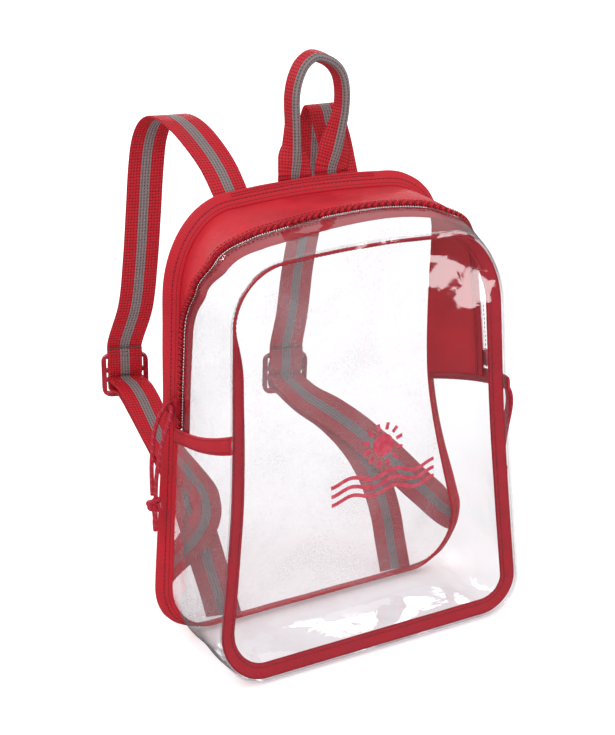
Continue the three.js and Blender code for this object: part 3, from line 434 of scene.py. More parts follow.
def onInnerTape(place, across, height):
    place, across, height = np.broadcast_arrays(*(np.asarray(a, float) for a in (place, across, height)))
    seam = onSeam(frontSeam, place)
    lean = np.radians(eased(leanTable, "place", np.mod(place, 8), "inner"))
    inset = bag["sheet"] + 2 * bag["gap"] + tape["innerThick"] * np.sin(lean) + across * np.cos(lean)
    point = np.stack([seam[..., 0], 0 * seam[..., 0], seam[..., 1]], -1)
    point = point + seamNormal(frontSeam, place) * (height * np.sin(lean) - inset)[..., None]
    point[..., 1] = frontY(point[..., 2]) + 2 * bag["gap"] + across * np.sin(lean) + height * np.cos(lean)
    return point


# Places round the body a given distance apart, with the distance run so far.
def evenPlaces(start, end, spacing, line=None):
    fine = np.linspace(start, end, 4000)
    flat = onSeam(line or backSeam, fine)
    run = np.concatenate([[0], np.cumsum(np.linalg.norm(np.diff(flat, axis=0), axis=1))])
    count = max(int(run[-1] / spacing), 4) + 1
    marks = np.linspace(0, run[-1], count)
    return np.interp(marks, run, fine), marks


sideLength = np.linalg.norm(onSeam(backSeam, 0) - onSeam(backSeam, 1))


# A run from one side band to the other: places and shares of depth for rows of points.
def runRows(startBand, endBand, wrap, bare, spacing, backEdge, frontEdge, across):
    start = (startBand["back"] + startBand["front"]) / 2
    end = (endBand["back"] + endBand["front"]) / 2 + wrap
    trim = bare / sideLength / (end - start)
    places, _ = evenPlaces(start, end, spacing)
    along = np.clip((places - start) / (end - start), trim, 1 - trim)[:, None]
    share = backEdge(along) + (frontEdge(along) - backEdge(along)) * np.asarray(across)[None, :]
    first = startBand["back"] + (startBand["front"] - startBand["back"]) * share
    last = endBand["back"] + (endBand["front"] - endBand["back"]) * share + wrap
    return first + (last - first) * along, share


def zipFrom(along):
    return eased(zipTable, "along", along, "from")


def alongZip(bare, spacing, backEdge, frontEdge, across):
    return runRows(bands["left"], bands["right"], 0, bare, spacing, backEdge, frontEdge, across)


# Meshes. Points are in millimetres, and the map of a surface is in millimetres too.
def finishMesh(name, vertices, faces, loopMap, smooth=True):
    mesh = bpy.data.meshes.new(name)
    mesh.from_pydata((np.asarray(vertices, float) * mm).tolist(), [], list(faces))
    if loopMap is not None:
        layer = mesh.uv_layers.new(name="cut")
        layer.data.foreach_set("uv", np.asarray(loopMap, np.float32).ravel())
    mesh.polygons.foreach_set("use_smooth", [smooth] * len(mesh.polygons))
    mesh.update()
    piece = bpy.data.objects.new(name, mesh)
    bpy.context.scene.collection.objects.link(piece)
    return piece


def runOf(points, axis):
    steps = np.linalg.norm(np.diff(points, axis=axis), axis=-1)
    pad = [(0, 0), (0, 0)]
    pad[axis] = (1, 0)
    return np.pad(np.cumsum(steps, axis=axis), pad)


# A surface through rows of points. A closed section has its columns joined into a tube, and a ring
# joins the last row to the first.
def gridPiece(name, rows, closed=False, ring=False, caps=False, u=None, v=None):
    rows = np.asarray(rows, float)
    n, m = rows.shape[:2]
    full = np.concatenate([rows, rows[:, :1]], 1) if closed else rows
    full = np.concatenate([full, full[:1]], 0) if ring else full
    mapU = runOf(full.mean(1, keepdims=True), 0) * np.ones((1, full.shape[1])) if u is None else u
    mapV = runOf(full, 1) if v is None else v
    i, j = np.meshgrid(np.arange(full.shape[0] - 1), np.arange(full.shape[1] - 1), indexing="ij")
    i, j = i.ravel(), j.ravel()
    corners = [(i, j), (i + 1, j), (i + 1, j + 1), (i, j + 1)]
    faces = np.stack([(a % n) * m + b % m for a, b in corners], 1)
    loops = np.stack([np.stack([mapU[a, b], mapV[a, b]], -1) for a, b in corners], 1)
    points = rows.reshape(-1, 3)
    flip = False
    if closed:
        p = points[faces]
        middle = rows.mean(1)[np.minimum(i, n - 1)]
        outward = np.einsum("ij,ij->i", np.cross(p[:, 1] - p[:, 0], p[:, 3] - p[:, 0]), p.mean(1) - middle)
        flip = outward.sum() < 0
    if flip:
        faces, loops = faces[:, ::-1], loops[:, ::-1]
    faces = faces.tolist()
    loops = loops.reshape(-1, 2)
    if caps and closed and not ring:
        faces += [list(range(m)), list(range((n - 1) * m, n * m))[::-1]]
        loops = np.concatenate([loops, np.zeros((2 * m, 2))])
    return finishMesh(name, points, faces, loops)


# A rounded strip's section: across and height of each point of a loop, for a width and thickness.
def softSection(width, thick, edge=5, flat=6):
    turn = np.linspace(-math.pi / 2, math.pi / 2, edge + 2)
    side = np.linspace(-1, 1, flat + 1)[1:-1] * (width / 2 - thick / 2)
    right = [(width / 2 - thick / 2 + thick / 2 * math.cos(a), thick / 2 * math.sin(a)) for a in turn]
    left = [(-x, -y) for x, y in right]
    return np.array(right + [(x, thick / 2) for x in side[::-1]] + left + [(x, -thick / 2) for x in side])


# Small stitches of thread along a line that lies on a surface.
def stitches(name, line, lift, pitch, thread, bite=0.72):
    line = np.asarray(line, float)
    run = np.concatenate([[0], np.cumsum(np.linalg.norm(np.diff(line, axis=0), axis=1))])
    count = max(int(run[-1] / pitch), 1)
    at = lambda s: np.stack([np.interp(s, run, line[:, k]) for k in range(3)], -1)
    up = lambda s: unit(np.stack([np.interp(s, run, lift[:, k]) for k in range(3)], -1))
    mids = (np.arange(count) + 0.5) * run[-1] / count
    steps = np.linspace(-0.5, 0.5, 6)
    turns = np.linspace(0, 2 * math.pi, 7)[:-1]
    vertices, faces = [], []
    for s in mids:
        base = len(vertices)
        for k, t in enumerate(steps):
            place = s + t * pitch * bite
            middle, rise = at(place), up(place)
            ahead = unit(at(place + 0.2) - at(place - 0.2))
            side = np.cross(ahead, rise)
            radius = thread * math.sqrt(max(1 - (2 * t) ** 2 * 0.86, 0.05))
            middle = middle + rise * (thread * 0.55 * math.cos(math.pi * t) - thread * 0.3)
            vertices += [middle + (side * math.cos(a) + rise * math.sin(a)) * radius for a in turns]
            if k:
                a, b = base + (k - 1) * 6, base + k * 6
                faces += [(a + j, a + (j + 1) % 6, b + (j + 1) % 6, b + j) for j in range(6)]
        faces.append(tuple(range(base, base + 6))[::-1])
        faces.append(tuple(range(base + 30, base + 36)))
    piece = finishMesh(name, vertices, faces, None)
    bm = bmesh.new()
    bm.from_mesh(piece.data)
    bmesh.ops.recalc_face_normals(bm, faces=bm.faces)
    bm.to_mesh(piece.data)
    bm.free()
    return piece


def dress(piece, look, *nodes, slot=None):
    piece.data.materials.clear()
    piece.data.materials.append(look)
    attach(piece, "root")
    if nodes:
        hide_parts(*nodes)
    return piece


# A wire is a socket that takes part in sums.
class Wire:
    def __init__(self, look, socket):
        self.look = look
        self.socket = socket

    def __add__(self, other):
        return self.look.sum("ADD", self, other)

    __radd__ = __add__

    def __sub__(self, other):
        return self.look.sum("SUBTRACT", self, other)

    def __rsub__(self, other):
        return self.look.sum("SUBTRACT", other, self)

    def __mul__(self, other):
        return self.look.sum("MULTIPLY", self, other)

    __rmul__ = __mul__

    def __truediv__(self, other):
        return self.look.sum("DIVIDE", self, other)

    def __rtruediv__(self, other):
        return self.look.sum("DIVIDE", other, self)

    def __pow__(self, other):
        return self.look.sum("POWER", self, other)

    def __abs__(self):
        return self.look.sum("ABSOLUTE", self)

    def __mod__(self, other):
        return self.look.sum("FLOORED_MODULO", self, other)

    def least(self, other):
        return self.look.sum("MINIMUM", self, other)

    def wave(self, period, shift=0.0):
        return self.look.sum("SINE", self * (2 * math.pi / period) + shift) * 0.5 + 0.5

    def soft(self, low, high, start=0.0, end=1.0):
        values = {"Value": self, "From Min": low, "From Max": high, "To Min": start, "To Max": end}
        return self.look.node("ShaderNodeMapRange", {"interpolation_type": "SMOOTHSTEP"}, values)


class Look:
    def __init__(self, name, owner=None):
        self.material = owner or bpy.data.materials.new(name)
        self.material.use_nodes = True
        self.tree = self.material.node_tree
        self.tree.nodes.clear()

    def node(self, kind, settings=None, values=None, out=0):
        made = self.tree.nodes.new(kind)
        for key, value in (settings or {}).items():
            setattr(made, key, value)
        values = values or {}
        for key, value in values.items() if isinstance(values, dict) else enumerate(values):
            socket = made.inputs[key]
            if isinstance(value, Wire):
                self.tree.links.new(value.socket, socket)
            else:
                socket.default_value = value
        return Wire(self, made.outputs[out])

    def sum(self, operation, *terms):
        return self.node("ShaderNodeMath", {"operation": operation}, list(terms))

    def blend(self, share, low, high):
        settings = {"data_type": "RGBA", "blend_type": "MIX"}
        return self.node("ShaderNodeMix", settings, {0: share, 6: low, 7: high}, out=2)

    def cut(self):
        split = self.node("ShaderNodeSeparateXYZ", {}, {0: self.node("ShaderNodeUVMap", {"uv_map": "cut"})})
        node = split.socket.node
        return Wire(self, node.outputs[0]), Wire(self, node.outputs[1])

    def place(self):
        return self.node("ShaderNodeTexCoord", {}, {}, out="Object")

    def grain(self, scale, detail=2.0, rough=0.5, warp=0.0):
        values = {"Vector": self.place(), "Scale": scale, "Detail": detail}
        return self.node("ShaderNodeTexNoise", {}, {**values, "Roughness": rough, "Distortion": warp})

    def bump(self, height, distance, strength=1.0):
        return self.node("ShaderNodeBump", {}, {"Height": height, "Distance": distance, "Strength": strength})

    def skin(self, **values):
        values = {key.replace("_", " "): value for key, value in values.items()}
        return self.node("ShaderNodeBsdfPrincipled", {}, values)

    def show(self, surface, end="ShaderNodeOutputMaterial"):
        out = self.tree.nodes.new(end)
        self.tree.links.new(surface.socket, out.inputs["Surface"])
        return self.material


def tint(red, green, blue):
    part = lambda c: c / 255 / 12.92 if c <= 10 else ((c / 255 + 0.055) / 1.055) ** 2.4
    return part(red), part(green), part(blue), 1.0


# Finishes
# A soft band mask along a line across a tape; tapeLook uses it for the sewn grooves.
def seamGrooveBands(look, across, at, width=0.35):
    return 1 - abs(across - at).soft(0, width)


def tapeLook(name, colour, dark, seams=(), lining=0.0):
    look = Look(name)
    u, v = look.cut()
    patch = look.grain(70, 3)
    rib = u.wave(0.9) * (v + u * 0.35).wave(0.7, 0.6)
    rib = rib * 0.55 + u.wave(1.8, 1.1) * 0.45
    grooveShade = 0.0
    for seam in seams:
        grooveShade = seamGrooveBands(look, v, seam, 0.5) + grooveShade
    shade = rib.soft(0.1, 0.9) * 0.5 + patch * 0.5
    base = look.blend(shade, dark, colour)
    if seams:
        # Painted shade: the sewn grooves are darkened in the colour, as well as pressed into the bump below.
        base = look.blend(grooveShade * 0.6, base, tint(96, 10, 24))
    height = rib * 0.6 + patch * 0.5
    height = height - grooveShade * 0.9 if seams else height
    rough = patch.soft(0.3, 0.7, 0.52, 0.68)
    normal = look.bump(height, 0.00016, 0.75)
    return look.show(look.skin(Base_Color=base, Roughness=rough, Normal=normal, Specular_IOR_Level=0.35,
                               Coat_Weight=lining))


def webbingLook(name):
    look = Look(name)
    u, v = look.cut()
    patch = look.grain(45, 3)
    fine = look.grain(900, 2)
    column = v.wave(2.0, math.pi / 2)
    row = (u + fine * 0.35).wave(2.15)
    hole = (row * column).soft(0.5, 0.98)
    rib = (1 - column) * 0.6 + (u * 2 + fine * 0.4).wave(2.15) * 0.4
    red = look.blend(rib * 0.7 + patch * 0.3, tint(176, 16, 34), tint(226, 30, 46))
    red = look.blend(row.soft(0.6, 0.98) * 0.45, red, tint(120, 10, 26))
    stripe = 1 - abs(v).soft(3.2, 3.5)
    gray = look.blend(rib * 0.75 + fine * 0.25, tint(112, 98, 99), tint(156, 144, 144))
    base = look.blend(stripe, red, gray)
    base = look.blend(hole * (stripe * 0.25 + 0.55), base, tint(64, 18, 30))
    height = rib * 0.5 + fine * 0.2 - hole * 0.9 - row.soft(0.6, 1.0) * 0.4 + stripe * 0.15
    normal = look.bump(height, 0.0004, 0.85)
    rough = rib.soft(0, 1, 0.68, 0.56)
    return look.show(look.skin(Base_Color=base, Roughness=rough, Normal=normal, Specular_IOR_Level=0.35))


def nylonLook(name, colour, dark):
    look = Look(name)
    u, v = look.cut()
    wide = look.grain(28, 4, 0.6)
    fine = look.grain(1200, 1)
    weave = (u + fine * 0.06).wave(0.55) * 0.5 + (u * 0.8 + v + fine * 0.06).wave(1.5) * 0.5
    pucker = look.grain(90, 3, 0.55, 0.6)
    base = look.blend(weave * 0.5 + wide.soft(0.3, 0.7) * 0.5, dark, colour)
    height = weave * 0.12 + pucker * 1.3 + wide * 1.6
    normal = look.bump(height, 0.0009, 0.7)
    rough = wide.soft(0.3, 0.75, 0.46, 0.62)
    return look.show(look.skin(Base_Color=base, Roughness=rough, Normal=normal, Specular_IOR_Level=0.4))


def vinylLook(name, veil, gloss, rough, folds):
    look = Look(name)
    wide = look.grain(18, 3, 0.5, 0.5)
    small = look.grain(75, 2, 0.5, 0.8)
    scuff = look.grain(420, 4, 0.7)
    height = wide * folds + small * folds * 0.12 + scuff * 0.004
    normal = look.bump(height, 0.004, 0.55)
    facing = look.node("ShaderNodeLayerWeight", {}, {"Blend": 0.5, "Normal": normal}, out="Facing")
    single = facing ** 5 * 0.957 + 0.043
    edge = single * 2 / (single + 1)  # both faces of the sheet shine
    near = look.node("ShaderNodeBsdfDiffuse", {}, {"Color": tint(250, 249, 253), "Normal": normal})
    behind = look.node("ShaderNodeBsdfTranslucent", {}, {"Color": tint(250, 249, 253), "Normal": normal})
    cloud = look.node("ShaderNodeMixShader", {}, {0: 0.5, 1: near, 2: behind})
    thin = look.node("ShaderNodeBsdfTransparent", {}, {"Color": (0.966, 0.962, 0.97, 1)})
    # Painted shade: seen at a slant, the sheet passes less and greyer light. This is partly the longer path
    # through the film, and partly painted shade standing in for a dim room mirrored at edges and folds.
    slant = look.node("ShaderNodeBsdfTransparent", {}, {"Color": (0.85, 0.84, 0.865, 1)})
    clear = look.node("ShaderNodeMixShader", {}, {0: facing.soft(0.62, 1.0), 1: thin, 2: slant})
    haze = scuff.soft(0.45, 0.8) * 0.4 + wide.soft(0.35, 0.75) * 0.6
    body = look.node("ShaderNodeMixShader", {}, {0: haze * veil + veil * 0.55, 1: clear, 2: cloud})
    mirror = {"Color": (0.97, 0.97, 0.98, 1), "Roughness": rough, "Normal": normal}
    shine = look.node("ShaderNodeBsdfAnisotropic", {}, mirror)
    return look.show(look.node("ShaderNodeMixShader", {}, {0: (edge * gloss).least(1.0), 1: body, 2: shine}))


def mouldedLook(name, colour, dark):
    look = Look(name)
    grain = look.grain(1500, 2)
    wide = look.grain(60, 3)
    base = look.blend(wide.soft(0.3, 0.7), dark, colour)
    normal = look.bump(grain * 0.25 + wide * 0.4, 0.00012, 0.5)
    rough = wide.soft(0.3, 0.75, 0.26, 0.42)
    return look.show(look.skin(Base_Color=base, Roughness=rough, Normal=normal, Coat_Weight=0.15))


def coilLook(name):
    look = Look(name)
    wide = look.grain(80, 3)
    u, v = look.cut()
    # Painted shade: the valleys between the coil's turns are darker in the colour, beside the real ridges of
    # the geometry.
    ridge = (u + abs(v - 3) * 0.3).wave(1.7)
    crest = look.blend(wide, tint(204, 26, 42), tint(230, 44, 60))
    base = look.blend(ridge.soft(0.15, 0.8), tint(104, 8, 20), crest)
    rough = wide.soft(0.3, 0.7, 0.5, 0.62)
    return look.show(look.skin(Base_Color=base, Roughness=rough, Specular_IOR_Level=0.25))


def braidLook(name):
    look = Look(name)
    u, v = look.cut()
    grain = look.grain(2600, 2)
    over = (u + v * 0.95).wave(1.5) * (u - v * 0.95).wave(1.5)
    lift = over ** 0.5
    base = look.blend(lift.soft(0.1, 0.75), tint(164, 18, 40), tint(236, 50, 76))
    fleck = ((u * 0.21 + v * 0.11) % 1.0).soft(0.86, 0.92) * lift.soft(0.25, 0.6)
    base = look.blend(fleck * 0.8, base, tint(176, 160, 164))
    normal = look.bump(lift + grain * 0.2, 0.00035, 0.9)
    return look.show(look.skin(Base_Color=base, Roughness=0.66, Normal=normal, Specular_IOR_Level=0.35))


def threadLook(name, colour, dark):
    look = Look(name)
    twist = look.grain(2400, 2, 0.5, 1.5)
    base = look.blend(twist.soft(0.3, 0.7), dark, colour)
    return look.show(look.skin(Base_Color=base, Roughness=0.55, Normal=look.bump(twist, 0.00008, 0.6)))


def printLook(name, colour):
    look = Look(name)
    worn = look.grain(260, 4, 0.7)
    base = look.blend(worn.soft(0.35, 0.75), colour, tint(224, 96, 116))
    return look.show(look.skin(Base_Color=base, Roughness=worn.soft(0.3, 0.7, 0.35, 0.5)))


looks = {
    "panel": vinylLook("clearPanel", 0.012, 0.9, 0.05, 0.5),
    "gusset": vinylLook("clearGusset", 0.03, 1.0, 0.05, 0.8),
    "back": vinylLook("clearBack", 0.24, 0.8, 0.06, 0.6),
    "nylon": nylonLook("redNylon", tint(226, 38, 52), tint(184, 22, 40)),
    "binding": tapeLook("redBinding", tint(228, 38, 54), tint(184, 20, 38), (2.7, 5.8)),
    "inner": tapeLook("redInnerBinding", tint(222, 34, 56), tint(172, 16, 36), (0.7, 7.6, 10.0)),
    "band": tapeLook("redBand", tint(220, 36, 54), tint(174, 18, 36), (1.6, 8.4), 0.05),
    "zipTape": tapeLook("redZipTape", tint(214, 36, 54), tint(164, 16, 34)),
    "webbing": webbingLook("redWebbing"),
    "moulding": mouldedLook("redMoulding", tint(196, 34, 54), tint(150, 18, 36)),
    "coil": coilLook("redCoil"),
    "cord": braidLook("redCord"),
    "thread": threadLook("redThread", tint(176, 26, 48), tint(120, 10, 30)),
    "print": printLook("fadedPrint", tint(206, 56, 78)),
}
print("finishes made")

# Cord pulls: the strands keep the routes that the solids have.
cordSettings = {"sides": 12, "wind": 4.3, "thread": 1.7}


def sliderMiddle(pull):
    start = (bands["left"]["back"] + bands["left"]["front"]) / 2
    end = (bands["right"]["back"] + bands["right"]["front"]) / 2
    share = float(zipFrom(pull["along"]))
    first = bands["left"]["back"] + (bands["left"]["front"] - bands["left"]["back"]) * share
    last = bands["right"]["back"] + (bands["right"]["front"] - bands["right"]["back"]) * share
    return onGusset(first + (last - first) * pull["along"], share, zipper["coil"] + bag["gap"])


def sweepTube(name, line, radius, sides):
    line = np.asarray(line, float)
    ahead = unit(np.gradient(line, axis=0))
    side = np.cross(ahead[0], [0.3, 0.2, 1.0])
    rows = []
    turns = np.linspace(0, 2 * math.pi, sides + 1)[:-1]
    for point, way in zip(line, ahead):
        side = unit(side - way * side.dot(way))
        up = np.cross(way, side)
        rows.append([point + (side * math.cos(a) + up * math.sin(a)) * radius for a in turns])
    return gridPiece(name, rows, closed=True, caps=True)


# The knot: the doubled cord wound over itself, with two short ends below.
def knotPiece(name, middle, s):
    r = s["thread"]
    lines = []
    t = np.linspace(0, 2 * math.pi, 90)
    for turn, lean in ((0.0, 0.5), (2.1, -0.45)):
        x = np.sin(t + turn) + 1.6 * np.sin(2 * t)
        y = np.cos(t + turn) - 1.6 * np.cos(2 * t)
        z = -np.sin(3 * t)
        k = s["wind"] / 2.6
        lines.append(np.stack([x * k, z * k * 0.95 + lean * 0.6, y * k], -1) + middle)
    for side in (-1, 1):
        drop = np.array([[0.4, 1.2, -1], [0.5, 1.5, -7], [0.9, 1.5, -12.5], [0.6, 1.4, -18.2]])
        lines.append(middle + centripetal(drop * [side, side, 1], 6))
    pieces = [sweepTube(f"{name}{i}", line, r, s["sides"]) for i, line in enumerate(lines)]
    picked = {"selected_objects": pieces, "selected_editable_objects": pieces}
    with bpy.context.temp_override(active_object=pieces[0], **picked):
        bpy.ops.object.join()
    pieces[0].name = name
    return pieces[0]


for side, pull in pulls.items():
    out = pull["side"]
    eye = sliderMiddle(pull) + np.array(pull["hang"]) * [out, 1, 1]
    knotAt = eye + np.array(pull["knot"]) * [out, 1, 1]
    knot = knotPiece(f"pullKnot{side.title()}", knotAt, cordSettings)
    dress(knot, looks["cord"], f"pull_knot_{side}", slot="red_cord")
    for strand in ("rear", "fore"):
        route = eye + np.array(pull[strand]) * [out, 1, 1]
        line = centripetal(route, 8)
        name = f"pullCord{strand.title()}{side.title()}"
        cord = sweepTube(name, line, cordSize["diameter"] / 2, cordSettings["sides"])
        dress(cord, looks["cord"], f"pull_cord_{strand}_{side}", slot="red_cord")
        length = float(np.linalg.norm(np.diff(line, axis=0), axis=1).sum()) * mm
        [tuple(p * mm) for p in route]
print("cords hung")

# Clear panels: each a single skin inside its seam, domed a little, with soft folds pressed into it.
panelSettings = {"rings": 30, "rim": 2.6, "wave": 1.7, "fineWave": 0.3, "draw": 0.6}


def folded(point, seed, size, height):
    return noise.noise(Vector((point[0] / size + seed, point[1] / size, point[2] / size))) * height


def panelPiece(name, line, tall, yAt, outward, seed, s):
    rim, _ = evenPlaces(0, 8, s["rim"], line)
    rim = rim[:-1]
    edge = onSeam(line, rim)
    middle = np.array([0, tall / 2])
    radii = np.sin(np.linspace(0, math.pi / 2, s["rings"] + 1)[1:])
    points, maps = [], []
    for r in radii:
        flat = middle + (edge - middle) * r
        for x, z in flat:
            rise = bag["panelCrown"] * (1 - r * r)
            y = yAt(z) + outward * (bag["sheet"] / 2 + rise)
            ease = min((1 - r) * 9, 1)
            y += (folded((x, 0, z), seed, 42, s["wave"]) + folded((x, 9, z), seed, 17, s["fineWave"])) * ease
            turn = math.atan2(z - middle[1], x)
            pull = noise.noise(Vector((math.cos(turn) * 9, math.sin(turn) * 9, seed))) * s["draw"]
            y += pull * ease * max(1 - (1 - r) * 6, 0)
            points.append((x, y, z))
            maps.append((x, z))
    points.append((0, yAt(middle[1]) + outward * (bag["sheet"] / 2 + bag["panelCrown"]), middle[1]))
    maps.append(tuple(middle))
    n = len(rim)
    faces = [(len(points) - 1, i, (i + 1) % n) for i in range(n)]
    for k in range(len(radii) - 1):
        a, b = k * n, (k + 1) * n
        faces += [(a + i, b + i, b + (i + 1) % n, a + (i + 1) % n) for i in range(n)]
    loops = [maps[v] for face in faces for v in face]
    return finishMesh(name, points, faces, loops)


dress(panelPiece("backPanel", backSeam, bag["height"], lambda z: backPlane, 1, 3.1, panelSettings),
      looks["back"], "back_panel", slot="clear_vinyl")
dress(panelPiece("frontPanel", frontSeam, frontTop, frontY, -1, 8.7, panelSettings),
      looks["panel"], "front_panel", slot="clear_vinyl")

# Gusset strips: the clear sides and foot, the red cloth over the back of the top and the clear
# strip in front of it, with folds where the sewing draws them in.
gussetSettings = {
    "spacing": 2.4, "across": 34, "lift": -0.5, "lap": 0.012, "wave": 1.1, "fineWave": 0.2,
    "pucker": 0.45, "puckerPitch": 5.0,
}
seamShare = bag["gap"] / bag["depth"]
coilShare = (zipper["coil"] + 2 * bag["gap"]) / bag["depth"]
tapeShare = zipper["tapeWidth"] / bag["depth"]
stripShare = coilShare + tapeShare + seamShare


def backEnd(along):
    return seamShare + 0 * along


def frontEnd(along):
    return 1 - seamShare + 0 * along


def clothEnd(along):
    return zipFrom(along) - stripShare + gussetSettings["lap"]


def clearStart(along):
    return zipFrom(along) + stripShare - gussetSettings["lap"]


def gussetPiece(name, ends, backEdge, frontEdge, seed, s, calm=0.0, across=None, puckered=False):
    steps = np.linspace(0, 1, across or s["across"])
    place, share = runRows(*ends, bag["gap"], s["spacing"], backEdge, frontEdge, steps)
    base = onGusset(place, share, s["lift"])
    rise = np.zeros(place.shape)
    for i in range(place.shape[0]):
        for j in range(place.shape[1]):
            ease = min(4 * steps[j] * (1 - steps[j]) * 1.6, 1)
            rise[i, j] = folded(base[i, j], seed, 36, s["wave"] * (1 - calm)) * ease
            rise[i, j] += folded(base[i, j], seed + 4, 13, s["fineWave"] * (1 - calm)) * ease
            if puckered:
                near = max(1 - min(steps[j], 1 - steps[j]) * 5, 0)
                beat = noise.noise(Vector((i * s["spacing"] / s["puckerPitch"], seed + round(steps[j]), 0)))
                rise[i, j] += s["pucker"] * beat * near * (1 - near) * 4
    return gridPiece(name, onGusset(place, share, s["lift"] + rise))


underneath = (bands["right"], bands["left"], 8)
overTop = (bands["left"], bands["right"], 0)
lower = gussetPiece("lowerGusset", underneath, backEnd, frontEnd, 5.2, gussetSettings)
dress(lower, looks["gusset"], "lower_gusset", slot="clear_vinyl")
clear = gussetPiece("topClearStrip", overTop, clearStart, frontEnd, 1.9, gussetSettings, 0.2, 18, True)
dress(clear, looks["gusset"], "upper_gusset_clear", slot="clear_vinyl")
cloth = gussetPiece("topCloth", overTop, backEnd, clothEnd, 7.3, gussetSettings, 0.1, 22, True)
dress(cloth, looks["nylon"], "upper_gusset_fabric", slot="red_fabric")
print("panels and gussets stand")


# Strips with thickness that lie along the body: the bindings, the bands and the zip's tapes.
def wrapSection(at, places, width, thick, start, name):
    width = width - start
    loop = softSection(width, thick, 3, 8)
    rows = np.stack([at(places, start + wide + width / 2, height + thick / 2) for wide, height in loop], 1)
    run = runOf(np.concatenate([rows, rows[:1]]).mean(1, keepdims=True), 0)
    marks = np.concatenate([loop[:, 0], loop[:1, 0]]) + width / 2
    u = run * np.ones((1, len(marks)))
    v = np.ones((len(u), 1)) * marks[None, :]
    return gridPiece(name, rows, closed=True, ring=True, u=u, v=v)


ringPlaces, _ = evenPlaces(0, 8, 2.4)
ringPlaces = ringPlaces[:-1]
bindingSettings = {
    "ripple": 0.35, "stitch": 3.1, "thread": 0.42, "seam": 0.36, "backTuck": -2.2, "frontTuck": -0.6,
    "dense": (-62, 52), "denseSeams": (0.62, 0.8), "densePitch": 1.7, "denseThread": 0.5,
    "innerSeam": 0.72, "innerThread": 0.32,
}


def ruffled(at, seed, height):
    def moved(place, across, lift):
        turns = np.ravel(place) * math.pi / 4
        wobble = np.array([noise.noise(Vector((math.sin(a) * 9, math.cos(a) * 9, seed))) for a in turns])
        return at(place, across, np.asarray(lift) + wobble * height * np.abs(np.asarray(across)) / 10)
    return moved


flangeAt = ruffled(onFlange, 2.0, bindingSettings["ripple"])
binding = wrapSection(flangeAt, ringPlaces, tape["flange"], tape["flangeThick"], bindingSettings["backTuck"],
                      "backBinding")
dress(binding, looks["binding"], "back_binding", slot="red_tape")
innerPlaces, _ = evenPlaces(0, 8, 2.4, frontSeam)
innerAt = ruffled(onInnerTape, 6.0, bindingSettings["ripple"])
innerBinding = wrapSection(innerAt, innerPlaces[:-1], tape["inner"], tape["innerThick"],
                           bindingSettings["frontTuck"], "frontBinding")
dress(innerBinding, looks["inner"], "front_binding", slot="red_tape")


# A row of stitches on one face of a strip: height is the face's, and far the other face's.
def tapeStitch(name, at, places, across, height, far, pitch, thread):
    line = at(places, across, height)
    seam = stitches(name, line, line - at(places, across, far), pitch, thread)
    dress(seam, looks["thread"], slot="red_tape")


def sewBindings(s):
    thick = tape["flangeThick"]
    fine, _ = evenPlaces(0, 8, 1.5)
    across = s["seam"] * tape["flange"]
    for face, height in (("Front", 0.0), ("Back", thick)):
        name = f"bindingStitch{face}0"
        tapeStitch(name, flangeAt, fine, across, height, thick - height, s["stitch"], s["thread"])
    # Close rows where the straps and the carry loop are sewn in.
    first, last = onSeam(backSeam, 2.0)[0], onSeam(backSeam, 3.0)[0]
    close = np.linspace(*(2 + np.clip((np.array(s["dense"]) - first) / (last - first), 0, 1)), 90)
    for k, share in enumerate(s["denseSeams"]):
        tapeStitch(f"sewnStitch{k}", flangeAt, close, share * tape["flange"], 0, thick, s["densePitch"],
                   s["denseThread"])
    fine, _ = evenPlaces(0, 8, 1.5, frontSeam)
    across, thick = s["innerSeam"] * tape["inner"], tape["innerThick"]
    tapeStitch("innerStitch", innerAt, fine, across, thick, 0, s["stitch"], s["innerThread"])
    tapeStitch("innerStitchFront", innerAt, fine, across, 0, thick, s["stitch"], s["innerThread"])


sewBindings(bindingSettings)

# The clear welt where the front panel and the gusset are joined.
weltSettings = {"radius": 0.85, "sink": 0.3}
weltPlaces, _ = evenPlaces(0, 8, 2.0, frontSeam)
weltPlaces = weltPlaces[:-1]
seamAt = onSeam(frontSeam, weltPlaces)
weltMiddle = np.stack([seamAt[:, 0], frontY(seamAt[:, 1]) - weltSettings["sink"], seamAt[:, 1]], -1)
weltOut = seamNormal(frontSeam, weltPlaces)
weltRows = []
for a in np.linspace(0, 2 * math.pi, 11)[:-1]:
    step = weltOut * math.cos(a) + np.array([0, math.sin(a), 0])
    weltRows.append(weltMiddle + step * weltSettings["radius"])
welt = gridPiece("frontWelt", np.stack(weltRows, 1), closed=True, ring=True)
dress(welt, looks["gusset"], slot="clear_vinyl")

bandSettings = {"arch": 0.72, "steps": 40, "reach": 1.02}


def bandPiece(side, band, s):
    shares = np.linspace(0.0, s["reach"], s["steps"])
    places = band["back"] + (band["front"] - band["back"]) * shares
    halfPlace = tape["band"] / 2 / sideLength
    loop = softSection(tape["band"], tape["bandThick"], 3, 8)
    rows = []
    for share, place in zip(shares, places):
        crown = s["arch"] * (1 - (2 * loop[:, 0] / tape["band"]) ** 2)
        lift = bag["gap"] + tape["bandThick"] / 2 + loop[:, 1] + crown
        wide = loop[:, 0] / (tape["band"] / 2) * halfPlace
        rows.append(onGusset(place + wide, np.full(len(loop), share), lift))
    marks = np.concatenate([loop[:, 0], loop[:1, 0]]) + tape["band"] / 2
    u = runOf(np.array(rows).mean(1, keepdims=True), 0) * np.ones((1, len(marks)))
    v = np.ones((len(u), 1)) * marks
    return gridPiece(f"sideBand{side.title()}", rows, closed=True, caps=True, u=u, v=v)


for side, band in bands.items():
    dress(bandPiece(side, band, bandSettings), looks["band"], f"side_band_{side}", slot="red_tape")


# The zip: two tapes and the closed coil, whose turns are real ridges.
zipSettings = {
    "spacing": 2.4, "turn": 1.7, "swell": 1.4, "ridge": 0.55, "parting": 0.35, "rise": 0.5, "hem": 0.6,
    "hemLap": 0.008, "under": 0.6,
}


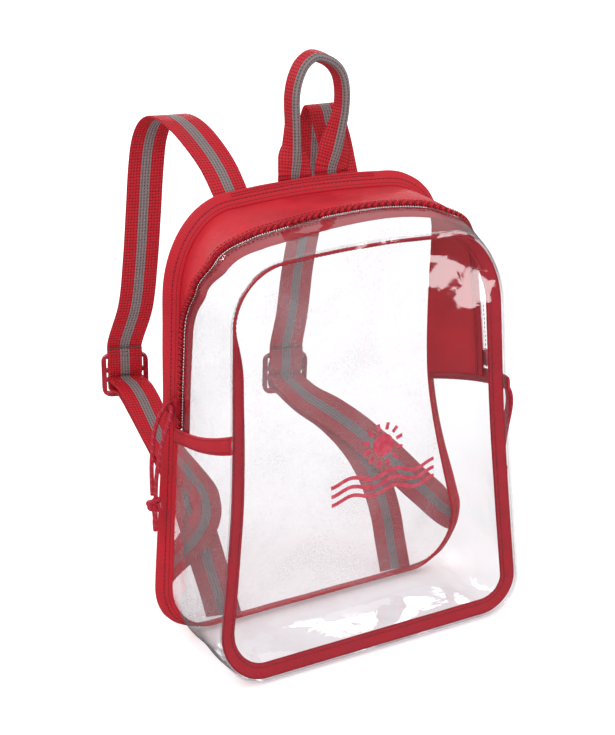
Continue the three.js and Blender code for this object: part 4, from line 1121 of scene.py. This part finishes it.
def zipTape(name, backEdge, frontEdge, lift, node):
    loops = softSection(1, 1, 2, 6)
    across = np.clip(loops[:, 0] + 0.5, 0, 1)
    place, share = alongZip(bag["gap"], zipSettings["spacing"], backEdge, frontEdge, across)
    height = lift + (loops[:, 1] - 0.5) * zipper["tapeThick"]
    piece = gridPiece(name, onGusset(place, share, height[None, :]), closed=True, caps=True)
    return dress(piece, looks["zipTape"], node, slot="red_tape")


def backTapeStart(along):
    return zipFrom(along) - coilShare - tapeShare


def backTapeEnd(along):
    return zipFrom(along) - coilShare


def frontTapeStart(along):
    return zipFrom(along) - zipSettings["under"] / bag["depth"]


def frontTapeEnd(along):
    lap = eased(lapTable, "along", along, "share") * zipper["lap"] / bag["depth"]
    return zipFrom(along) + coilShare + tapeShare + lap


zipTape("zipTapeBack", backTapeStart, backTapeEnd, 0, "zipper_tape_back")
zipTape("zipTapeFront", frontTapeStart, frontTapeEnd, -bag["sheet"] - bag["gap"], "zipper_tape_front")


def coilPiece(s):
    bare = tape["band"] / 2 + 2 * bag["gap"]
    spacing = s["turn"] / 5
    turns = np.linspace(0, 2 * math.pi, 17)[:-1]
    place, share = alongZip(bare, spacing, zipFrom, zipFrom, [0.0])
    place, share = place[:, 0], share[:, 0]
    beat = np.arange(len(place)) * spacing / s["turn"] * 2 * math.pi
    rows = []
    for a in turns:
        turned = np.sin(beat + (math.pi if math.cos(a) > 0 else 0))
        r = zipper["coil"] * s["swell"] * (1 - s["ridge"] * 0.5 + s["ridge"] * 0.5 * turned)
        r = r * (1 - s["parting"] * math.exp(-(math.cos(a) / 0.22) ** 2) * (math.sin(a) > 0))
        rows.append(onGusset(place, share + r * math.cos(a) / bag["depth"], s["rise"] + r * math.sin(a)))
    return gridPiece("zipCoil", np.stack(rows, 1), closed=True, caps=True)


dress(coilPiece(zipSettings), looks["coil"], "zipper_coil", slot="red_coil")


# The turned edges of the cloth and the clear strip beside the zip.
def hemPiece(name, side, lift, radius, look, slot):
    edge = lambda a: zipFrom(a) + side * (stripShare - zipSettings["hemLap"])
    place, share = alongZip(tape["band"] / 2 + 1, 1.5, edge, edge, [0.0])
    rows = []
    for a in np.linspace(0, 2 * math.pi, 9)[:-1]:
        wide = radius * math.cos(a) / bag["depth"]
        rows.append(onGusset(place[:, 0], share[:, 0] + wide, lift + radius * math.sin(a)))
    return dress(gridPiece(name, np.stack(rows, 1), closed=True, caps=True), look, slot=slot)


hemPiece("clothHem", -1, 0.15, zipSettings["hem"], looks["nylon"], "red_fabric")
hemPiece("stripHem", 1, 0.1, zipSettings["hem"] * 0.8, looks["gusset"], "clear_vinyl")


# Stitching beside the zip: a row on the cloth and a row on the clear strip.
def gussetStitch(name, side, inset, lift=0.1, pitch=3.0, thread=0.3):
    edge = lambda a: zipFrom(a) + side * (stripShare + inset / bag["depth"])
    place, share = alongZip(tape["band"] / 2 + 1, 1.5, edge, edge, [0.0])
    line = onGusset(place[:, 0], share[:, 0], lift)
    rise = onGusset(place[:, 0], share[:, 0], lift + 1) - line
    return dress(stitches(name, line, rise, pitch, thread), looks["thread"], slot="red_tape")


gussetStitch("clothStitch", -1, 2.2)
gussetStitch("stripStitch", 1, 1.6)
print("tapes and zip sewn")


# Webbing: a rounded strip swept along the routes of the straps, with the ribs running its length.
webSettings = {"steps": 10, "edge": 4, "flat": 14, "stitch": 2.6, "thread": 0.36}
fold = {"bar": ladder["bar"], "reach": math.hypot(ladder["bar"] / 2, ladder["thick"] / 2)}
fold["radius"] = fold["reach"] + bag["gap"] + web["thick"] / 2
fold["offset"] = fold["radius"] + web["thick"] / 2 + bag["gap"]
layerOffset = ladder["thick"] / 2 + bag["gap"] + web["thick"] / 2
layerStep = web["thick"] + 2 * bag["gap"]


def aimOf(turn, tilt):
    yaw, rise = math.radians(turn), math.radians(tilt)
    return np.array([math.cos(yaw) * math.cos(rise), math.sin(yaw) * math.cos(rise), math.sin(rise)])


def placeOf(row):
    return np.array([row["across"] * half, backPlane + row["back"] * web["reach"], row["up"] * bag["height"]])


def stationOf(row):
    return placeOf(row), aimOf(row["turn"], row["tilt"])


def ladderAxes(row):
    middle = placeOf(row)
    across = aimOf(row["turn"], 0)
    up = np.array(Matrix.Rotation(math.radians(-row["lean"]), 3, Vector(across)) @ Vector((0, 0, 1)))
    towards = unit(-np.cross(across, up))
    towards = -towards if towards[1] > 0 else towards
    return across, lambda rise, out: middle + up * rise + towards * out


def foldRound(at, across, bar, below, sweep=1.0):
    turns = [math.pi * sweep * k / 4 for k in range(5)]
    sign = -1 if below else 1
    radius = fold["radius"]
    return [(at(bar + sign * radius * math.sin(a), -radius * math.cos(a)), across) for a in turns]


def tuckHeight(layer):
    return tape["flangeThick"] + bag["tuckGap"] + web["thick"] / 2 + layer * (web["thick"] + bag["tuckGap"])


def topPlace(x):
    start, end = onSeam(backSeam, 2.0)[0], onSeam(backSeam, 3.0)[0]
    return 2 + min(max((x - start) / (end - start), 0), 0.999)


def flangeTuck(strap):
    place = topPlace(strap["topAcross"] * half)
    along = unit(onFlange(place + 0.02, 0, 0) - onFlange(place - 0.02, 0, 0))
    height = tuckHeight(strap["topLayer"])
    return [(onFlange(place, share * tape["flange"], height), along) for share in (0.0, 1.0)]


def cornerTuck(strap):
    place = strap["cornerPlace"]
    up = unit(onFlange(place + 0.02, 0, 0) - onFlange(place - 0.02, 0, 0))
    up = -up if up[2] < 0 else up
    aim = -up if up.dot(stationOf(strap["lower"][-1])[1]) < 0 else up
    return [(onFlange(place, 0, tuckHeight(0)) + up * strap["cornerRise"], aim),
            (onFlange(place, 0.75 * tape["flange"], tuckHeight(0)), aim)]


# Middle, width direction and outward direction at each step of a strap.
def webLine(stations, steps):
    middle = centripetal([p for p, _ in stations], steps)
    aims = np.array([a for _, a in stations], float)
    spans = len(stations) - 1
    t = np.linspace(0, spans, spans * steps + 1)
    low = np.minimum(t.astype(int), spans - 1)
    aim = unit(aims[low] + (aims[low + 1] - aims[low]) * (t - low)[:, None])
    ahead = unit(np.gradient(middle, axis=0))
    normal = np.cross(ahead, aim)
    slant = np.linalg.norm(normal, axis=-1, keepdims=True)
    return middle, aim / slant, normal / slant


def webPiece(name, stations, s, bow=0.0):
    middle, aim, normal = webLine(stations, s["steps"])
    loop = softSection(web["width"], web["thick"], s["edge"], s["flat"])
    run = runOf(middle[:, None], 0)[:, 0]
    rows = []
    for k, (point, side, up) in enumerate(zip(middle, aim, normal)):
        dip = noise.noise(Vector((run[k] / 40, bow, 0.3))) * 0.5
        bowed = loop[:, 1] + dip * ((2 * loop[:, 0] / web["width"]) ** 2 - 0.4)
        rows.append([point + side * wide + up * height for wide, height in zip(loop[:, 0], bowed)])
    marks = np.concatenate([loop[:, 0], loop[:1, 0]])
    u = run[:, None] * np.ones((1, len(marks)))
    v = np.ones((len(run), 1)) * marks[None, :]
    return gridPiece(name, rows, closed=True, caps=True, u=u, v=v), (middle, aim, normal, run)


def stitchRow(name, line, at, inset, face, s):
    middle, aim, normal, run = line
    pick = lambda rows: np.array([np.interp(at, run, rows[:, k]) for k in range(3)])
    m, a, n = pick(middle), pick(aim), unit(pick(normal))
    marks = np.linspace(-web["width"] / 2 + inset, web["width"] / 2 - inset, 30)
    rowLine = m + a * marks[:, None] + n * face * web["thick"] / 2
    piece = stitches(name, rowLine, np.tile(n * face, (30, 1)), s["stitch"], s["thread"])
    return dress(piece, looks["thread"], slot="red_webbing")


for side, strap in straps.items():
    across, at = ladderAxes(strap["adjuster"])
    rim = ladder["height"] / 2
    hemTop = max(fold["offset"] + web["hem"], rim)
    upperStations = flangeTuck(strap) + [stationOf(row) for row in strap["upper"]] + [
        (at(rim + ladder["runIn"], layerOffset), across),
        (at(rim - ladder["rim"] / 2, layerOffset), across),
        (at(rim - ladder["rim"] - bag["gap"] - web["thick"] / 2, layerOffset), across),
        (at(fold["offset"] + ladder["bar"] + bag["gap"], -layerOffset), across),
    ] + foldRound(at, across, fold["offset"], True) + [
        (at(rim - ladder["rim"], layerOffset + layerStep), across),
        (at(hemTop, layerOffset + layerStep), across),
    ]
    window = (rim - ladder["rim"] + fold["offset"] + ladder["bar"] / 2) / 2
    lowerStations = [stationOf(row) for row in strap["tail"][::-1]] + [(at(-window, web["thick"]), across)]
    lowerStations += foldRound(at, across, -fold["offset"], False, ladder["sweep"])
    lowerStations += [stationOf(row) for row in strap["lower"]] + cornerTuck(strap)
    name = side.title()
    upper, upperLine = webPiece(f"strapUpper{name}", upperStations, webSettings, 1.7)
    dress(upper, looks["webbing"], f"strap_upper_{side}", slot="red_webbing")
    lowerWeb, lowerLine = webPiece(f"strapLower{name}", lowerStations, webSettings, 4.4)
    dress(lowerWeb, looks["webbing"], f"strap_lower_{side}", slot="red_webbing")
    for k in range(2):
        for face, letter in ((-1, "a"), (1, "b")):
            hemAt, tailAt = upperLine[3][-1] - 3.0 * (k + 1), 9.0 + 3 * k
            stitchRow(f"hemStitch{name}{k}{letter}", upperLine, hemAt, 1.5, face, webSettings)
            stitchRow(f"tailStitch{name}{k}{letter}", lowerLine, tailAt, 1.5, face, webSettings)
print("straps threaded")

# The carry loop: flat at both ends, folded along its middle between, with the stripe on the fold.
loopSettings = {"steps": 8, "crease": 3.4, "across": 30}


def loopPiece(s):
    front = tuckHeight(0) + web["thick"] / 2
    xOf = lambda row: loop["x"] + row["across"] * loop["spread"] / 2
    top = onFlange(topPlace(loop["x"]), tape["flange"], front)
    rows = [(np.array([xOf(r), top[1], top[2] + r["up"] * loop["height"]]), r["fold"]) for r in handleTable]
    ends = [[(onFlange(topPlace(xOf(r)), share * tape["flange"], front), 0) for share in (0.0, 1.0)]
            for r in (handleTable[0], handleTable[-1])]
    stations = ends[0] + rows + ends[1][::-1]
    middle = centripetal([p for p, _ in stations], s["steps"])
    spans = len(stations) - 1
    fine = np.linspace(0, spans, spans * s["steps"] + 1)
    folds = np.interp(fine, np.arange(spans + 1), [f for _, f in stations])
    ahead = unit(np.gradient(middle, axis=0))
    reach = np.linspace(0, web["width"] / 2, s["across"])
    grid = []
    for point, way, shut in zip(middle, ahead, folds):
        opening = math.radians(90 + (loop["foldedAngle"] - 90) * shut)
        rear = np.array([0.0, 1, 0]) - way * way[1]
        rear = rear / np.linalg.norm(rear)
        sideways = np.cross(way, rear)
        ease = np.clip(reach / s["crease"], 0, 1)
        angle = math.pi / 2 + (opening - math.pi / 2) * ease * ease * (3 - 2 * ease)
        steps = np.diff(reach, prepend=0)
        out = np.cumsum(np.sin(angle) * steps)
        back = np.cumsum(np.cos(angle) * steps)
        skin = np.stack([-np.cos(angle), np.sin(angle)], -1)
        line = []
        for sign in (-1, 1):
            core = np.stack([sign * out, back + web["thick"] / 2], -1)
            norm = np.stack([sign * skin[:, 0], skin[:, 1]], -1)
            line.append((core, norm))
        (coreL, normL), (coreR, normR) = line
        core = np.concatenate([coreL[::-1], coreR[1:]])
        norm = np.concatenate([normL[::-1], normR[1:]])
        thick = web["thick"] / 2
        inner = core + norm * thick
        outer = core - norm * thick
        tipR = core[-1] + (core[-1] - core[-2]) / np.linalg.norm(core[-1] - core[-2]) * thick * 0.7
        tipL = core[0] + (core[0] - core[1]) / np.linalg.norm(core[0] - core[1]) * thick * 0.7
        flat = np.concatenate([outer, [tipR], inner[::-1], [tipL]])
        grid.append([point + sideways * a + rear * b for a, b in flat])
    width = np.concatenate([-reach[::-1], reach[1:]])
    marks = np.concatenate([width, [width[-1]], width[::-1], [width[0]], [width[0]]])
    run = runOf(middle[:, None], 0)
    piece = gridPiece("carryLoop", grid, closed=True, caps=True, u=run * np.ones((1, len(marks))),
                      v=np.ones((len(run), 1)) * marks[None, :])
    return piece


dress(loopPiece(loopSettings), looks["webbing"], "carry_handle", slot="red_webbing")

# Moulded parts keep their solids, with their edges rounded.
roundings = {"strap_adjuster": 0.9, "zip_slider": 0.35}
for kind, width in roundings.items():
    for side in bands:
        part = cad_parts[f"{kind}_{side}"]
        part.data.materials.clear()
        part.data.materials.append(looks["moulding"])
        soft = part.modifiers.new("soft", "BEVEL")
        soft.width, soft.segments, soft.harden_normals = width * mm, 3, True
        soft.limit_method, soft.angle_limit = "ANGLE", math.radians(40)
print("carry loop and moulded parts done")

# A plain printed mark: a small sun over three waves, worn pale.
markSettings = {
    "middle": (3, 151), "disc": 8, "line": 2.6, "rays": 12, "rayFrom": 2.4, "ray": 5, "wave": 40,
    "drop": 7, "rise": 2.0, "swing": 5.2, "gap": 6, "proud": 0.12,
}


def ribbonOf(line, width):
    line = np.asarray(line, float)
    ahead = unit(np.gradient(line, axis=0))
    side = np.stack([-ahead[:, 1], ahead[:, 0]], -1) * width / 2
    return [(line[k] - side[k], line[k] + side[k]) for k in range(len(line))]


def markPiece(s):
    cx, cz = s["middle"]
    strokes = []
    turn = np.linspace(0, 2 * math.pi, 49)
    for r in np.arange(s["line"] / 2, s["disc"], s["line"]):
        strokes.append([(cx + r * math.cos(a), cz + r * math.sin(a)) for a in turn])
    for k in range(s["rays"]):
        a = 2 * math.pi * (k + 0.5) / s["rays"]
        reach = np.linspace(0, s["ray"], 6) + s["disc"] + s["rayFrom"]
        strokes.append([(cx + r * math.cos(a), cz + r * math.sin(a)) for r in reach])
    for k in range(3):
        base = cz - s["disc"] - s["ray"] - s["drop"] - k * s["gap"]
        run = np.linspace(-s["wave"], s["wave"], 70)
        strokes.append([(cx + x, base + s["rise"] * math.sin(x / s["swing"])) for x in run])
    vertices, faces = [], []
    for stroke in strokes:
        pairs = ribbonOf(stroke, s["line"])
        starts = range(len(vertices), len(vertices) + 2 * len(pairs) - 2, 2)
        faces += [(k, k + 1, k + 3, k + 2) for k in starts]
        vertices += [point for pair in pairs for point in pair]
    panel = bpy.data.objects["frontPanel"].evaluated_get(bpy.context.evaluated_depsgraph_get())
    points = []
    for x, z in vertices:
        place = panel.ray_cast(Vector((x, -200, z)) * mm, Vector((0, 1, 0)))[1]
        points.append((x, place.y / mm - s["proud"], z))
    return finishMesh("frontMark", points, faces, None)


dress(markPiece(markSettings), looks["print"])

# Floor, soft lights and the plain bright room.
roomSettings = {
    "floor": 20, "sky": 0.85, "horizon": 0.3, "ground": 0.1, "glowNear": 0.34, "glowFar": 0.6,
    "key": 13, "fill": 5, "back": 7, "side": 7, "low": 1.35,
}


def floorPiece(s):
    span = np.linspace(-s["floor"] / 2, s["floor"] / 2, 9) / mm
    rows = [[(x, y, 0) for x in span] for y in span]
    floor = gridPiece("floor", rows)
    look = Look("paperFloor")
    grain = look.grain(30, 2)
    base = look.blend(grain, (0.93, 0.93, 0.94, 1), (0.95, 0.95, 0.955, 1))
    paper = look.skin(Base_Color=base, Roughness=0.9, Specular_IOR_Level=0.1)
    seen = look.node("ShaderNodeLightPath", {}, {}, out="Is Camera Ray")
    far = look.node("ShaderNodeVectorMath", {"operation": "LENGTH"}, {0: look.place()}, out="Value")
    shades = [(s[k], s[k], s[k], 1) for k in ("glowNear", "glowFar")]
    shade = look.blend(far.soft(0.7, 3.0), *shades)
    glow = look.node("ShaderNodeEmission", {}, {"Color": look.blend(seen, (0, 0, 0, 1), shade)})
    floor.data.materials.append(look.show(look.node("ShaderNodeAddShader", {}, [paper, glow])))
    floor.visible_glossy = False


# A bright ceiling over a dimmer horizon, so that the vinyl mirrors the lamps and little else.
def addRoom(s):
    world = bpy.data.worlds.new("brightRoom")
    world.use_nodes = True
    look = Look("brightRoom", world)
    around = look.node("ShaderNodeTexCoord", {}, {}, out="Generated")
    split = look.node("ShaderNodeSeparateXYZ", {}, {0: around})
    height = Wire(look, split.socket.node.outputs[2])
    sky, horizon, ground = ((v, v, v, 1) for v in (s["sky"], s["horizon"], s["ground"]))
    air = look.blend(height.soft(-0.12, 0.02), ground, look.blend(height.soft(0.2, 0.75), horizon, sky))
    look.show(look.node("ShaderNodeBackground", {}, {"Color": air, "Strength": 1.0}), "ShaderNodeOutputWorld")
    bpy.context.scene.world = world


def addLight(name, place, aim, size, power, colour=(1, 1, 1)):
    data = bpy.data.lights.new(name, "AREA")
    data.shape, data.size, data.size_y = "RECTANGLE", size[0], size[1]
    data.energy, data.color = power, colour
    lamp = bpy.data.objects.new(name, data)
    bpy.context.scene.collection.objects.link(lamp)
    place, aim = Vector(place), Vector(aim)
    lamp.location = place
    lamp.rotation_euler = (aim - place).to_track_quat("-Z", "Y").to_euler()


floorPiece(roomSettings)
addLight("keyLight", (-1.1, -0.9, 1.7), (0, 0, 0.12), (0.9, 0.9), roomSettings["key"])
addLight("fillLight", (1.5, -1.1, 1.1), (0, 0, 0.15), (1.2, 1.0), roomSettings["fill"])
addLight("backLight", (1.05, 1.85, 0.85), (0, 0, 0.28), (1.1, 0.34), roomSettings["back"])
addLight("sideLight", (-0.75, 1.75, 1.2), (0, 0, 0.25), (0.5, 0.5), roomSettings["side"])
addLight("lowLight", (1.0, -1.3, 0.11), (0, 0, 0.17), (0.36, 0.18), roomSettings["low"])
addRoom(roomSettings)
bpy.context.scene.view_settings.view_transform = "Standard"

print("scene stands")
